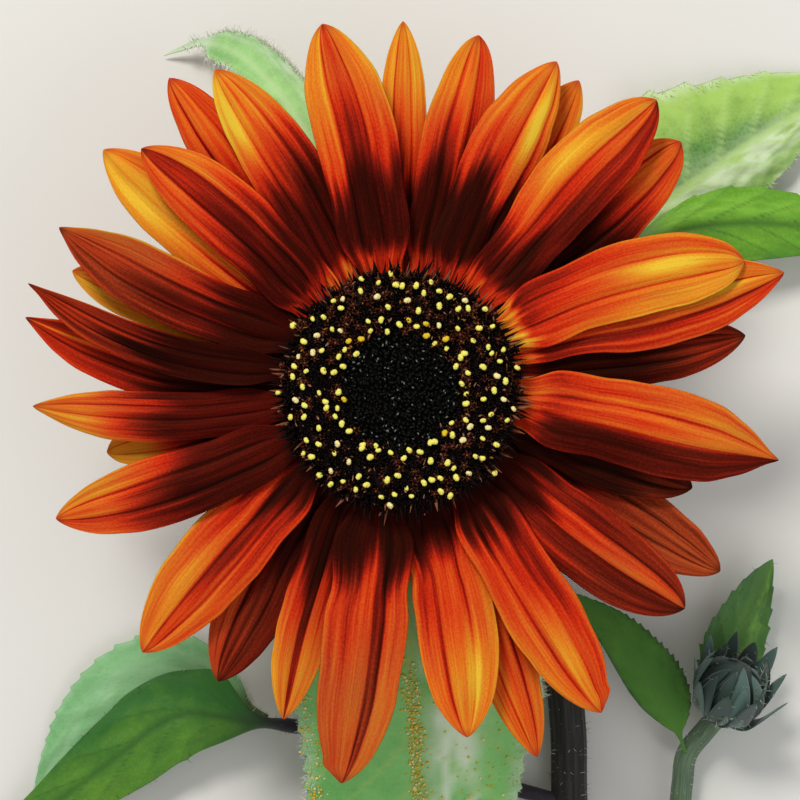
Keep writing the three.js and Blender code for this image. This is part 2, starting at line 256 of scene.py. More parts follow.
# A closed shell: an upper and a lower grid that share their side edges, a cap at the root and a tip.
def shellMesh(name, upper, lower, tip, across, along, attributes, material=None):
    stations, columns = upper.shape[:2]
    back = list(range(columns - 2, 0, -1))
    place = list(range(columns)) + back
    around = len(place)
    rings = np.concatenate([upper, lower[:, back]], axis=1)
    vertices = np.vstack([rings.reshape(-1, 3), tip[None]])
    last = stations * around
    end = last - around
    faces = ringFaces(stations, around)
    faces += [(end + k, end + (k + 1) % around, last) for k in range(around)]
    faces.append((0, around - 1, 1))
    faces += [(k, around - k, around - k - 1, k + 1) for k in range(1, columns - 2)]
    faces.append((columns - 2, columns, columns - 1))
    uv = np.stack([np.repeat(along, around), np.tile((across[place] + 1) / 2, stations)], axis=1)
    values = {}
    for key, grid in attributes.items():
        full = np.broadcast_to(grid, (stations, columns))[:, place]
        values[key] = np.append(full.ravel(), full[-1].mean())
    return meshFrom(name, vertices, faces, np.vstack([uv, [[1, 0.5]]]), values, material)


# Rings of points round the Z axis, one for each radius and height.
def turnedRings(profile, sides, pull=1.0, squash=1.0):
    turn = fullTurn * np.arange(sides) / sides
    radius, height = np.array(profile, float).T[..., None]
    reach = radius * pull
    return np.stack([reach * np.cos(turn), reach * np.sin(turn) * squash, height + 0 * turn], axis=-1)


# A closed solid of revolution about a vertical line, from a profile that starts and ends on it.
def latheMesh(name, profile, segments, centre, material):
    rings = turnedRings(profile[1:-1], segments)
    poles = [(0, 0, profile[0][1]), (0, 0, profile[-1][1])]
    vertices = np.vstack([rings.reshape(-1, 3), poles]) + centre
    return meshFrom(name, vertices, ringFaces(len(rings), segments, poles=True), material=material)


# A smooth profile in metres through a few points in mm.
def smoothProfile(points, count):
    points = np.array(points, float) * mm
    made = throughPoints(knotsOf(points)[0], points, np.linspace(0, 1, count))
    made[:, 0] = np.clip(made[:, 0], 0, None)
    made[0, 0] = made[-1, 0] = 0
    return made


pieces = []


def addPiece(mesh, name, slot, *replaced):
    piece = bpy.data.objects.new(name, mesh)
    bpy.context.scene.collection.objects.link(piece)
    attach(piece, "root")
    if replaced:
        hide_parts(*replaced)
    pieces.append(piece)


def newMaterial(name, look):
    material = bpy.data.materials.new(name)
    material.use_nodes = True
    shader = material.node_tree.nodes["Principled BSDF"]
    for socket, value in look.items():
        shader.inputs[socket].default_value = value
    material.diffuse_color = shader.inputs["Base Color"].default_value
    return material, partial(addNode, material.node_tree), shader


# Colours laid over each other, each where its share says. A share given by name is one the mesh carries.
def layered(add, base, layers):
    colour = linear(base)
    for share, code in layers:
        if isinstance(share, str):
            share = add("ShaderNodeAttribute", output="Fac", attribute_name=share)
        colour = add("ShaderNodeMix", {0: share, 6: colour, 7: linear(code)}, 2, data_type="RGBA")
    return colour


# Links a fine relief to the shader, its depth in mm, and the colour where it varies.
def dress(add, shader, height, strength, depth, colour=None):
    links = shader.id_data.links
    if colour is not None:
        links.new(colour, shader.inputs["Base Color"])
    bump = add("ShaderNodeBump", {"Strength": strength, "Distance": depth * mm, "Height": height})
    links.new(bump, shader.inputs["Normal"])


# From near-black maroon through red and orange to gold.
petalRamp = [
    (0.00, "#1a0302"),
    (0.14, "#380604"),
    (0.27, "#5f0e08"),
    (0.39, "#8d190d"),
    (0.50, "#c8280f"),
    (0.61, "#d84c19"),
    (0.73, "#df741f"),
    (0.86, "#e59b28"),
    (1.00, "#ecc237"),
]

# Veins about 0.4 mm apart drawn out along the petal, then cells of about 0.5 mm that mottle the skin.
petalGrains = [
    {"scale": (3.0, 34.0, 1.0), "detail": 3.0, "roughness": 0.6, "amount": 0.4},
    {"scale": (100.0, 28.0, 1.0), "detail": 2.0, "roughness": 0.5, "amount": 0.18},
]


# Ray floret skin: satin and finely veined along its length.
def petalMaterial():
    look = {"Roughness": 0.6, "Specular IOR Level": 0.12, "Specular Tint": linear("#ff9a70")}
    material, add, shader = newMaterial("rayFloretSatinSkin", look)
    uv = add("ShaderNodeTexCoord", output="UV")
    tone = add("ShaderNodeAttribute", output="Fac", attribute_name="tone")
    noises = []
    for grain in petalGrains:
        values = {"Scale": 1.0, "Detail": grain["detail"], "Roughness": grain["roughness"]}
        values["Vector"] = add("ShaderNodeMapping", {"Vector": uv, "Scale": grain["scale"]})
        noises.append(add("ShaderNodeTexNoise", values, "Fac"))
        amount = grain["amount"]
        shift = add("ShaderNodeMath", (noises[-1], amount, -amount / 2), operation="MULTIPLY_ADD")
        tone = add("ShaderNodeMath", (tone, shift), operation="ADD")
    ramp = add("ShaderNodeValToRGB", (tone,), None)
    steps = ramp.color_ramp.elements
    while len(steps) < len(petalRamp):
        steps.new(0.5)
    for step, (position, code) in zip(steps, petalRamp):
        step.position = position
        step.color = linear(code)
    # Older skin near the tips turns from red and orange to brown.
    dull = add("ShaderNodeAttribute", output="Fac", attribute_name="dull")
    aged = {"Hue": 0.514, "Saturation": 0.97, "Value": 0.62, "Fac": dull, "Color": ramp.outputs[0]}
    dress(add, shader, noises[0], 0.35, 0.25, add("ShaderNodeHueSaturation", aged))
    return material


# Leaf skin: green, matt and slightly rough to the touch, with paler or darker veins and a hairy bloom.
def leafMaterial(name, colours):
    look = {"Roughness": 0.62, "Specular IOR Level": 0.3, "Sheen Weight": 0.18, "Sheen Roughness": 0.5}
    material, add, shader = newMaterial(name, look)
    blade, shade, pale, vein, stalk = colours
    place = add("ShaderNodeTexCoord", output="Object")
    # Blotches of about 6 mm and net veins about 1.1 mm apart.
    blotch = {"Vector": place, "Scale": 160.0, "Detail": 5.0, "Roughness": 0.62}
    blotch = add("ShaderNodeTexNoise", blotch, "Fac")
    net = {"Vector": place, "Scale": 900.0}
    net = add("ShaderNodeTexVoronoi", net, "Distance", feature="DISTANCE_TO_EDGE")
    netLine = add("ShaderNodeMapRange", (net, 0.0, 0.2, 0.16, 0.0))
    patch = add("ShaderNodeMath", (blotch, 1.5, -0.75), operation="MULTIPLY_ADD")
    tint = add("ShaderNodeAttribute", output="Fac", attribute_name="tint")
    patch = add("ShaderNodeMath", (tint, patch), operation="ADD", use_clamp=True)
    layers = [(patch, shade), (netLine, vein), ("pale", pale), ("vein", vein), ("stalk", stalk)]
    dress(add, shader, net, 0.5, 0.2, layered(add, blade, layers))
    return material


# Stem skin: juicy and ribbed, with darker and browner streaks along it and a pale pith at the cut.
def stemMaterial(name, colours):
    look = {"Roughness": 0.55, "Specular IOR Level": 0.35, "Sheen Weight": 0.1}
    material, add, shader = newMaterial(name, look)
    dark, light, young, pith = colours
    uv = add("ShaderNodeTexCoord", output="UV")
    # Streaks about 1 mm wide and 7 mm long.
    streaks = add("ShaderNodeMapping", {"Vector": uv, "Scale": (9.0, 22.0, 1.0)})
    noise = add("ShaderNodeTexNoise", {"Vector": streaks, "Scale": 1.0, "Detail": 4.0}, "Fac")
    share = add("ShaderNodeMapRange", (noise, 0.35, 0.68, 0.0, 1.0))
    layers = [(share, light), ("green", young), ("pith", pith)]
    dress(add, shader, noise, 0.4, 0.2, layered(add, dark, layers))
    return material


# Small joined things: one plain colour, with a fine grain in the relief.
def plainMaterial(name, code, roughness=0.6, specular=0.3, sheen=0.0, grain=1500.0):
    look = {"Base Color": linear(code), "Roughness": roughness}
    look.update({"Specular IOR Level": specular, "Sheen Weight": sheen})
    material, add, shader = newMaterial(name, look)
    place = add("ShaderNodeTexCoord", output="Object")
    noise = add("ShaderNodeTexNoise", {"Vector": place, "Scale": grain, "Detail": 2.0}, "Fac")
    dress(add, shader, noise, 0.4, 0.1)
    return material


# A tree's own inputs come with first values that say what kind they are. Every tree has the others too.
def newTree(name, inputs):
    tree = bpy.data.node_groups.new(name, "GeometryNodeTree")
    kinds = {int: "Int", float: "Float", tuple: "Vector"}
    inputs = {"Shape": "Object", **inputs, "Seed": 1, "Finish": "Material", "Second Finish": "Material"}
    tree.interface.new_socket(name="Geometry", in_out="INPUT", socket_type="NodeSocketGeometry")
    for label, value in inputs.items():
        kind = kinds.get(type(value), value)
        socket = tree.interface.new_socket(name=label, in_out="INPUT", socket_type="NodeSocket" + kind)
        if kind is not value:
            socket.default_value = value
    tree.interface.new_socket(name="Geometry", in_out="OUTPUT", socket_type="NodeSocketGeometry")
    return partial(addNode, tree), addNode(tree, "NodeGroupInput", output=None).outputs


# A random value for each point or copy. Its step sets it apart from the tree's other draws.
def draw(add, given, step, low, high):
    seed = add("ShaderNodeMath", (given["Seed"], step), operation="ADD")
    kind, socket, output = ("FLOAT_VECTOR", 0, 0) if isinstance(low, tuple) else ("FLOAT", 2, 1)
    values = {socket: low, socket + 1: high, "Seed": seed}
    return add("FunctionNodeRandomValue", values, output, data_type=kind)


# The shape on every point, each copy a little larger or smaller.
def putCopies(add, given, points, rotation, step, chosen=True):
    swell = draw(add, given, step, -1.0, 1.0)
    swell = add("ShaderNodeMath", (swell, given["Scale Spread"], 1.0), operation="MULTIPLY_ADD")
    size = add("ShaderNodeMath", (swell, given["Scale"]), operation="MULTIPLY")
    shape = add("GeometryNodeObjectInfo", {"Object": given["Shape"]}, "Geometry")
    values = {"Points": points, "Selection": chosen, "Instance": shape, "Rotation": rotation, "Scale": size}
    return add("GeometryNodeInstanceOnPoints", values)


# The end of every tree: real faces, the first finish on all of them, the second on the share that is picked.
def finishTree(add, given, copies, chance, step):
    picked = add("ShaderNodeMath", (draw(add, given, step, 0.0, 1.0), chance), operation="LESS_THAN")
    kept = add("GeometryNodeCaptureAttribute", (copies,), None, domain="INSTANCE")
    kept.capture_items.new("BOOLEAN", "Picked")
    kept.id_data.links.new(picked, kept.inputs[1])
    real = add("GeometryNodeRealizeInstances", (kept.outputs[0],))
    made = add("GeometryNodeSetMaterial", {"Geometry": real, "Material": given["Finish"]})
    second = {"Geometry": made, "Selection": kept.outputs[1], "Material": given["Second Finish"]}
    add("NodeGroupOutput", (add("GeometryNodeSetMaterial", second),), None)
    return kept.id_data


# The rays that look for the surface start this high above the floor and are this long, in m.
rayStart = 0.1
rayLength = 0.2


# Florets in golden-angle spirals, dropped onto the surface that carries the tree.
def spiralTree():
    inputs = {"Count": 100, "First": 0, "Spacing": 1.0 * mm, "Turn": 0.0, "Jitter": 0.0, "Scale": 1.0}
    inputs.update({"Scale Spread": 0.15, "Lean": 0.0, "Lean Spread": 0.15, "Share": 0.0})
    add, given = newTree("goldenSpiral", {**inputs, "Centre": (0, 0, 0), "Warm Side": (0, 0, 0)})
    points = add("GeometryNodePoints", {"Count": given["Count"]})
    order = add("ShaderNodeMath", (add("GeometryNodeInputIndex"), given["First"]), operation="ADD")
    radius = add("ShaderNodeMath", (order,), operation="SQRT")
    for factor in (given["Spacing"], math.sqrt(packing / math.pi)):
        radius = add("ShaderNodeMath", (radius, factor), operation="MULTIPLY")
    angle = add("ShaderNodeMath", (order, goldenAngle), operation="MULTIPLY")
    angle = add("ShaderNodeMath", (angle, given["Turn"]), operation="ADD")
    x = add("ShaderNodeMath", (angle,), operation="COSINE")
    y = add("ShaderNodeMath", (angle,), operation="SINE")
    outward = add("ShaderNodeCombineXYZ", (x, y, 0.0))
    wander = {0: draw(add, given, 0, (-1, -1, 0), (1, 1, 0)), "Scale": given["Jitter"]}
    wander = add("ShaderNodeVectorMath", wander, operation="SCALE")
    spot = add("ShaderNodeVectorMath", {0: outward, "Scale": radius}, operation="SCALE")
    for shift in (wander, given["Centre"], (0, 0, rayStart)):
        spot = add("ShaderNodeVectorMath", (spot, shift), operation="ADD")
    ray = {"Target Geometry": given["Geometry"], "Source Position": spot}
    ray.update({"Ray Direction": (0, 0, -1), "Ray Length": rayLength})
    hit = add("GeometryNodeRaycast", ray, None).outputs
    placed = {"Geometry": points, "Selection": hit["Is Hit"], "Position": hit["Hit Position"]}
    placed = add("GeometryNodeSetPosition", placed)
    upward = hit["Hit Normal"]
    for way, amount in ((outward, "Lean"), (draw(add, given, 11, (-1, -1, -1), (1, 1, 1)), "Lean Spread")):
        lean = add("ShaderNodeVectorMath", {0: way, "Scale": given[amount]}, operation="SCALE")
        upward = add("ShaderNodeVectorMath", (upward, lean), operation="ADD")
    stand = add("FunctionNodeAlignRotationToVector", {"Vector": upward}, axis="Z")
    spin = {"Axis": (0, 0, 1), "Angle": draw(add, given, 5, 0.0, fullTurn)}
    spin = add("FunctionNodeAxisAngleToRotation", spin)
    stand = {"Rotation": stand, "Rotate By": spin}
    stand = add("FunctionNodeRotateRotation", stand, rotation_space="LOCAL")
    copies = putCopies(add, given, placed, stand, 7, hit["Is Hit"])
    # The second, lighter finish is commoner on the lit side: painted light.
    place = (add("GeometryNodeInputPosition"), given["Centre"])
    place = add("ShaderNodeVectorMath", place, operation="SUBTRACT")
    place = add("ShaderNodeVectorMath", (place,), operation="NORMALIZE")
    favour = add("ShaderNodeVectorMath", (place, given["Warm Side"]), "Value", operation="DOT_PRODUCT")
    favour = add("ShaderNodeMath", (favour, 1.0), operation="ADD")
    chance = add("ShaderNodeMath", (favour, given["Share"]), operation="MULTIPLY")
    return finishTree(add, given, copies, chance, 3)


# Copies of one shape standing round an axis.
def whorlTree():
    inputs = {"Count": 8, "Turn": 0.0, "Wobble": 0.05, "Scale": 1.0, "Scale Spread": 0.06, "Share": 0.3}
    add, given = newTree("whorl", {**inputs, "Centre": (0, 0, 0), "Axis": (0, 0, 1)})
    points = add("GeometryNodePoints", {"Count": given["Count"]})
    step = add("ShaderNodeMath", (fullTurn, given["Count"]), operation="DIVIDE")
    wobble = (draw(add, given, 0, -1.0, 1.0), given["Wobble"])
    wobble = add("ShaderNodeMath", wobble, operation="MULTIPLY")
    angle = (add("GeometryNodeInputIndex"), step, wobble)
    angle = add("ShaderNodeMath", angle, operation="MULTIPLY_ADD")
    angle = add("ShaderNodeMath", (angle, given["Turn"]), operation="ADD")
    dip = (draw(add, given, 9, -0.5, 0.5), given["Wobble"])
    dip = add("ShaderNodeMath", dip, operation="MULTIPLY")
    turned = add("FunctionNodeAxisAngleToRotation", {"Axis": (0, 0, 1), "Angle": angle})
    dipped = add("FunctionNodeAxisAngleToRotation", {"Axis": (0, 1, 0), "Angle": dip})
    turned = {"Rotation": turned, "Rotate By": dipped}
    turned = add("FunctionNodeRotateRotation", turned, rotation_space="LOCAL")
    copies = putCopies(add, given, points, turned, 4)
    stand = add("FunctionNodeAlignRotationToVector", {"Vector": given["Axis"]}, axis="Z")
    moved = {"Geometry": copies, "Translation": given["Centre"], "Rotation": stand}
    return finishTree(add, given, add("GeometryNodeTransform", moved), given["Share"], 2)


# Hairs, bristles or grains strewn over a surface, thickest where its "downy" value is highest.
def downTree():
    inputs = {"Density": 1e5, "Scale": 1.0, "Scale Spread": 0.4, "Lean Spread": 0.4, "Share": 0.3}
    add, given = newTree("down", inputs)
    downy = add("GeometryNodeInputNamedAttribute", {"Name": "downy"}, data_type="FLOAT")
    density = add("ShaderNodeMath", (given["Density"], downy), operation="MULTIPLY")
    strewn = {"Mesh": given["Geometry"], "Density": density, "Seed": given["Seed"]}
    strewn = add("GeometryNodeDistributePointsOnFaces", strewn, None, distribute_method="RANDOM").outputs
    lean = {0: draw(add, given, 1, (-1, -1, -1), (1, 1, 1)), "Scale": given["Lean Spread"]}
    lean = add("ShaderNodeVectorMath", lean, operation="SCALE")
    upward = add("ShaderNodeVectorMath", (strewn["Normal"], lean), operation="ADD")
    stand = add("FunctionNodeAlignRotationToVector", {"Vector": upward}, axis="Z")
    copies = putCopies(add, given, strewn["Points"], stand, 2)
    return finishTree(add, given, copies, given["Share"], 3)


shapes = []


# The trees copy these; they are taken away at the end.
def asShape(mesh):
    shape = bpy.data.objects.new(mesh.name, mesh)
    bpy.context.scene.collection.objects.link(shape)
    shapes.append(shape)
    return shape


# Runs a tree over a surface and keeps the result as one plain mesh.
def grow(name, surface, tree, shape, seed, share, finishes, values):
    carrier = bpy.data.objects.new(name + "Carrier", surface)
    bpy.context.scene.collection.objects.link(carrier)
    modifier = carrier.modifiers.new("grow", "NODES")
    modifier.node_group = tree
    sockets = {item.name: item.identifier for item in tree.interface.items_tree if item.in_out == "INPUT"}
    finish, second = finishes
    common = {"Shape": shape, "Seed": seed, "Share": share, "Finish": finish, "Second Finish": second}
    for label, value in {**common, **values}.items():
        modifier[sockets[label]] = value
    evaluated = carrier.evaluated_get(bpy.context.evaluated_depsgraph_get())
    mesh = bpy.data.meshes.new_from_object(evaluated)
    mesh.name = name
    bpy.data.objects.remove(carrier)
    if not mesh.polygons:
        raise RuntimeError(f"{name} grew nothing")
    return mesh


def joinMeshes(name, meshes):
    joined = bmesh.new()
    materials = []
    for mesh in meshes:
        order = {}
        for i, material in enumerate(mesh.materials):
            if material not in materials:
                materials.append(material)
            order[i] = materials.index(material)
        before = len(joined.faces)
        joined.from_mesh(mesh)
        joined.faces.ensure_lookup_table()
        for face in joined.faces[before:]:
            face.material_index = order.get(face.material_index, 0)
    made = bpy.data.meshes.new(name)
    joined.to_mesh(made)
    joined.free()
    for material in materials:
        made.materials.append(material)
    return made


spirals, whorls, down = spiralTree(), whorlTree(), downTree()
print("trees and tools ready")

# One row for each petal: how far out the maroon reaches, as a share of the length; the tones at the foot,
# past the maroon and at the end, from 0 maroon-black to 1 gold; what the left, middle and right folds add;
# its marks. The maroon reach and the tones are partly the petal's own colour and partly painted shadow where
# the disc and the petals in front shade it, and the folds' offsets partly paint shade on halves tilted from
# the light. creases: where the folds meet across the blade. ridge: where a painted highlight runs from foot
# to tip. gold: how much, where across, where along. claw: light at the foot. foot: how much broader it is.
# rim: a light right edge. lobe: a second point beside the tip, on that side. fold: how far the margins stand
# up. dull: how brown it is. slim: a narrower stretch, as side, share lost, where along and how long.
petalTints = [
    (0.34, 0.1, 0.33, 0.51, (-0.05, -0.02, 0.1), {"fold": 0.9, "rim": 0.22, "dull": 0.7}),
    (0.24, 0.1, 0.52, 0.76, (0.16, 0.0, -0.04), {"fold": 0.3}),
    (0.56, 0.06, 0.36, 0.44, (0.0, 0.0, 0.04), {"fold": 1.2, "rim": 0.22, "dull": 0.4}),
    (0.46, 0.06, 0.33, 0.48, (0.02, 0.0, 0.0), {"fold": 0.8, "gold": (0.16, 0.2, 0.86)}),
    (0.54, 0.2, 0.43, 0.72, (0.02, 0.0, 0.04), {"creases": (-0.12, 0.42), "dull": 0.35}),
    (0.5, 0.16, 0.42, 0.86, (0.0, 0.0, 0.0), {}),
    (0.54, 0.18, 0.4, 0.7, (-0.14, 0.0, 0.08), {"fold": 0.4, "dull": 0.25}),
    (0.22, 0.1, 0.46, 0.66, (0.02, -0.08, 0.06), {"creases": (-0.42, 0.05), "gold": (0.12, 0.5, 0.66)}),
    (0.4, 0.1, 0.33, 0.39, (-0.03, -0.03, 0.14), {"dull": 0.55}),
    (0.4, 0.08, 0.41, 0.68, (0.04, -0.22, 0.07), {"creases": (-0.14, 0.14), "dull": 0.25}),
    (0.25, 0.06, 0.51, 0.62, (0.05, -0.2, 0.0),
     {"creases": (-0.44, -0.2), "lobe": 1, "dull": 0.6, "foot": 0.85}),
    (0.24, 0.06, 0.56, 0.73, (0.06, 0.02, -0.06), {"gold": (0.3, -0.34, 0.74), "foot": 0.85}),
    (0.4, 0.08, 0.54, 0.66, (0.0, 0.0, 0.0), {}),
    (0.24, 0.06, 0.5, 0.68, (-0.06, 0.02, 0.03), {"lobe": -1, "gold": (0.1, 0.1, 0.74)}),
    (0.26, 0.06, 0.42, 0.42, (-0.05, 0.13, -0.14), {"creases": (-0.45, 0.12), "ridge": 0.6, "dull": 0.4}),
    (0.32, 0.06, 0.38, 0.46, (0.03, 0.0, 0.0), {"dull": 0.85}),
    (0.7, 0.04, 0.18, 0.28, (0.0, 0.0, 0.0), {"dull": 0.6}),
    (0.1, 0.34, 0.5, 0.64, (0.04, 0.02, -0.38),
     {"creases": (-0.35, 0.2), "ridge": 0.22, "claw": 0.22, "dull": 0.3}),
    (0.6, 0.05, 0.17, 0.34, (0.03, 0.0, 0.0), {"claw": 0.3, "dull": 0.5}),
    (0.14, 0.36, 0.49, 0.68, (0.03, 0.02, -0.16),
     {"creases": (-0.22, 0.38), "gold": (0.26, -0.1, 0.72), "ridge": 0.7, "claw": 0.3,
      "slim": (1, 0.42, 0.2, 0.2)}),
    (0.16, 0.3, 0.49, 0.78, (-0.05, 0.04, 0.06),
     {"creases": (-0.45, 0.25), "gold": (0.3, -0.15, 0.68), "claw": 0.42}),
    (0.58, 0.04, 0.34, 0.6, (0.04, 0.0, -0.05), {"claw": 0.05}),
    (0.3, 0.14, 0.46, 0.62, (0.12, -0.02, -0.22),
     {"creases": (-0.08, 0.34), "gold": (0.34, -0.58, 0.6), "claw": 0.36, "slim": (-1, 0.36, 0.22, 0.2)}),
    (0.6, 0.06, 0.5, 0.72, (0.0, 0.0, 0.08), {}),
    (0.46, 0.06, 0.52, 0.7, (0.0, 0.02, 0.0),
     {"creases": (0.12, 0.74), "gold": (0.38, 0.45, 0.74), "claw": 0.3}),
    (0.45, 0.12, 0.4, 0.68, (0.05, 0.0, -0.07), {"claw": 0.3}),
    (0.38, 0.14, 0.52, 0.83, (0.05, -0.05, 0.02), {"ridge": -0.5, "claw": 0.32}),
    (0.42, 0.13, 0.48, 0.73, (0.06, -0.13, 0.02), {"ridge": 0.3, "claw": 0.3}),
    (0.48, 0.16, 0.41, 0.79, (0.08, 0.0, -0.05), {"gold": (0.22, -0.55, 0.78), "claw": 0.42}),
    (0.36, 0.18, 0.45, 0.64, (0.0, 0.0, 0.0), {}),
    (0.4, 0.16, 0.38, 0.61, (0.04, -0.17, 0.05), {"creases": (-0.3, 0.36), "ridge": 0.46, "claw": 0.26}),
    (0.27, 0.14, 0.61, 0.84, (0.05, 0.0, -0.1), {"gold": (0.08, -0.5, 0.76)}),
]

petalShape = {
    "stations": 88,
    "columns": 29,
    "columnArc": 0.86,
    "creaseColumns": (-0.055, -0.025, 0, 0.025, 0.055),
    "creaseGap": 0.075,
    "thickness": 0.34 * mm,
    "edgeThickness": 0.05 * mm,
    "foldRise": 0.085,
    "veinDepth": 0.12 * mm,
    "ripple": 0.8 * mm,
    "marginWave": 0.9 * mm,
    "foldHeight": 1.1 * mm,
    "foot": 0.55,
    "lobe": 0.3,
    "dull": 0.1,
    # How much each line adds to the tone or takes from it. The creases' darkening is painted shade, and the
    # lights beside them and along a ridge are painted highlights.
    "creasePaintedShade": 0.22,
    "creaseShade": 0.07,
    "creasePaintedHighlights": (0.08, 0.05),
    "veinDark": 0.1,
    "marginLight": 0.09,
    "ridgePaintedHighlight": 0.2,
    "endDark": 0.12,
}


# The height of the folds across a blade: each is a smooth swelling, and they meet in sharp creases.
def foldProfile(v, creases):
    edges = [-1.0, *creases, 1.0]
    rise = np.zeros_like(v)
    vein = np.zeros_like(v)
    for i, (left, right) in enumerate(zip(edges, edges[1:])):
        inside = (v >= left) & (v <= right)
        s = np.clip((v - left) / (right - left), 0, 1)
        if i == 0:
            shape = 1 - s**3
        elif i == len(edges) - 2:
            shape = 1 - (1 - s) ** 3
        else:
            shape = (4 * s * (1 - s)) ** 0.75
        rise = np.where(inside, (right - left) * shape, rise)
        vein = np.where(inside, bell(s, 0.5, 0.07), vein)
    return rise, vein


# Columns across a blade from -1 to 1, closer together at the margins.
def columnsAcross(count, arc):
    return np.sin(np.linspace(-0.5, 0.5, count) * math.pi * arc) / math.sin(arc / 2 * math.pi)


# The petal's tone and how brown it is, over its stations u and columns v.
def petalColours(row, creases, vein, u, v, seed):
    dark, base, red, tip, (left, middle, right), marks = row
    shape = petalShape
    inner, outer = shape["creasePaintedHighlights"]
    front = dark + 0.2 * softNoise(v * 2.6, 1.7, seed) + 0.14 * softNoise(v * 8, 9.1, seed)
    front += 0.07 * softNoise(v * 19, 4.4, seed)
    tone = base + (red - base) * ease(front - 0.12, front + 0.06, u)
    tone += (tip - red) * ease(front, 0.84, u)
    shown = 0.25 + 0.75 * ease(front - 0.12, front + 0.14, u)
    bands = left + (middle - left) * ease(creases[0] - 0.05, creases[0] + 0.05, v)
    bands += (right - middle) * ease(creases[1] - 0.05, creases[1] + 0.05, v)
    tone += bands * shown
    # Streaks, from broad to fine.
    for i, (amount, fine, long) in enumerate(((0.14, 4.3, 2.5), (0.12, 10, 2.2), (0.09, 19, 3.5)), start=1):
        tone += amount * softNoise(v * fine, u * long, seed + i) * shown
    running = ease(0.03, 0.2, u) * (1 - 0.4 * ease(0.88, 1.0, u))
    # Painted shade in each crease, and painted highlights on the swellings either side of it.
    for crease in creases:
        strength = 0.7 + 0.9 * softNoise(u * 3, crease * 5, seed + 6)
        line = shape["creasePaintedShade"] * bell(v, crease, 0.035) + shape["creaseShade"] * bell(v, crease, 0.1)
        tone -= line * running * strength
        tone += (inner * bell(v, crease - 0.09, 0.035) + outer * bell(v, crease + 0.09, 0.035)) * shown
    tone -= shape["veinDark"] * vein[None, :] * running * (0.6 + softNoise(u * 4, v * 3, seed + 7))
    tone += shape["marginLight"] * ease(0.9, 0.99, np.abs(v)) * shown
    # A painted highlight along a fold's ridge.
    if "ridge" in marks:
        ridge = shape["ridgePaintedHighlight"] * bell(v, marks["ridge"], 0.045)
        tone += ridge * ease(0.02, 0.3, u) * (1 - ease(0.8, 0.97, u))
    amount, acrossAt, alongAt = marks.get("gold", (0, 0, 0))
    tone += amount * bell(v, acrossAt, 0.2) * bell(u, alongAt, 0.17)
    tone += marks.get("rim", 0) * ease(0.9, 0.97, v) * ease(0.3, 0.5, u)
    flame = 1 - ease(0.07, 0.15 + 0.12 * softNoise(v * 9, 2, seed), u)
    tone += marks.get("claw", 0) * flame * (1 + 1.2 * softNoise(v * 12, 5, seed))
    tone -= shape["endDark"] * ease(0.955, 1.0, u)
    dull = marks.get("dull", shape["dull"]) * ease(0.25, 0.75, u) + 0.4 * ease(0.93, 1.0, u)
    dull = dull + 0.35 * softNoise(v * 4, u * 6, seed + 9)
    return {"tone": tone, "dull": np.clip(dull, 0, 1)}


def makePetal(number, row, material):
    shape = petalShape
    marks = row[-1]
    node = f"ray_floret_{number:02d}"
    seed = number * 3.7
    blade = readBlade(node, "disc")
    along = 1 - (1 - np.linspace(0, 1, shape["stations"] + 1)[:-1]) ** 1.2
    creases = marks.get("creases", (-0.38 + 0.06 * math.sin(seed), 0.34 + 0.06 * math.cos(seed)))
    across = columnsAcross(shape["columns"], shape["columnArc"])
    near = [crease + step for crease in creases for step in shape["creaseColumns"]]
    far = [v for v in across if min(abs(v - crease) for crease in creases) > shape["creaseGap"]]
    across = np.array(sorted(far + near))

    def widen(u, sign):
        wave = 1 + 0.12 * softNoise(u * 5, 0.3 * sign, seed) * ease(0.1, 0.4, u)
        wave += 0.06 * softNoise(u * 13, 0.3 * sign, seed) * ease(0.2, 0.6, u)
        # Broad feet, so that neighbours overlap all round the disc.
        wave += marks.get("foot", shape["foot"]) * (1 - ease(0.02, 0.34, u))
        if marks.get("lobe") == sign:
            wave += shape["lobe"] * bell(u, 0.95, 0.026)
        slimSide, loss, slimAt, slimLength = marks.get("slim", (0, 0, 0, 1))
        if slimSide == sign:
            wave *= 1 - loss * bell(u, slimAt, slimLength)
        return wave

    u, v = along[:, None], across[None, :]
    sway = 0.1 * softNoise(u * 3.1, v * 0.8 + 3, seed + 4) * (1 - v**2) * ease(0.1, 0.4, u)
    grid, normal = bladeGrid(blade, along, v + sway, widen)[:2]
    fade = ease(0.0, 0.16, u) * (1 - ease(0.84, 1.0, u))
    rise, vein = foldProfile(across, creases)
    wide = np.maximum(blade["leftWidth"].max(), blade["rightWidth"].max())
    height = shape["foldRise"] * wide * (rise[None, :] * (1.6 + softNoise(v * 2, u * 3, seed)) - 0.5) * fade
    height -= shape["veinDepth"] * vein[None, :] * fade
    ripple = softNoise(u * 3.2, v * 1.1 + 5, seed) * ease(0.15, 0.6, u)
    height += shape["ripple"] * ripple * (1 - ease(0.93, 1.0, u))
    wave = softNoise(u * 5.5, np.sign(v) * 2 + 9, seed)
    foldUp = marks.get("fold", 0.3 * math.sin(seed * 1.9))
    height += (shape["marginWave"] * wave + shape["foldHeight"] * foldUp) * np.abs(v) ** 3 * fade
    half = shape["edgeThickness"] + (0.5 * shape["thickness"] - shape["edgeThickness"]) * (1 - v**4)
    half = half * (1 - 0.45 * u) * np.ones_like(height)
    half[:, [0, -1]] = 0
    upper = grid + normal * (height + half)[..., None]
    lower = grid + normal * (height - half)[..., None]
    values = petalColours(row, creases, vein, u, v, seed)
    mesh = shellMesh(node, upper, lower, blade["spine"][-1], across, along, values, material)
    addPiece(mesh, f"petal_{number:02d}", "petal", node)


petalSkin = petalMaterial()
for number, row in enumerate(petalTints, start=1):
    makePetal(number, row, petalSkin)
print("ray florets made")

discLow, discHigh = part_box("disc")
bloomX = (discLow.x + discHigh.x) / 2
bloomY = (discLow.y + discHigh.y) / 2
discTop = discHigh.z

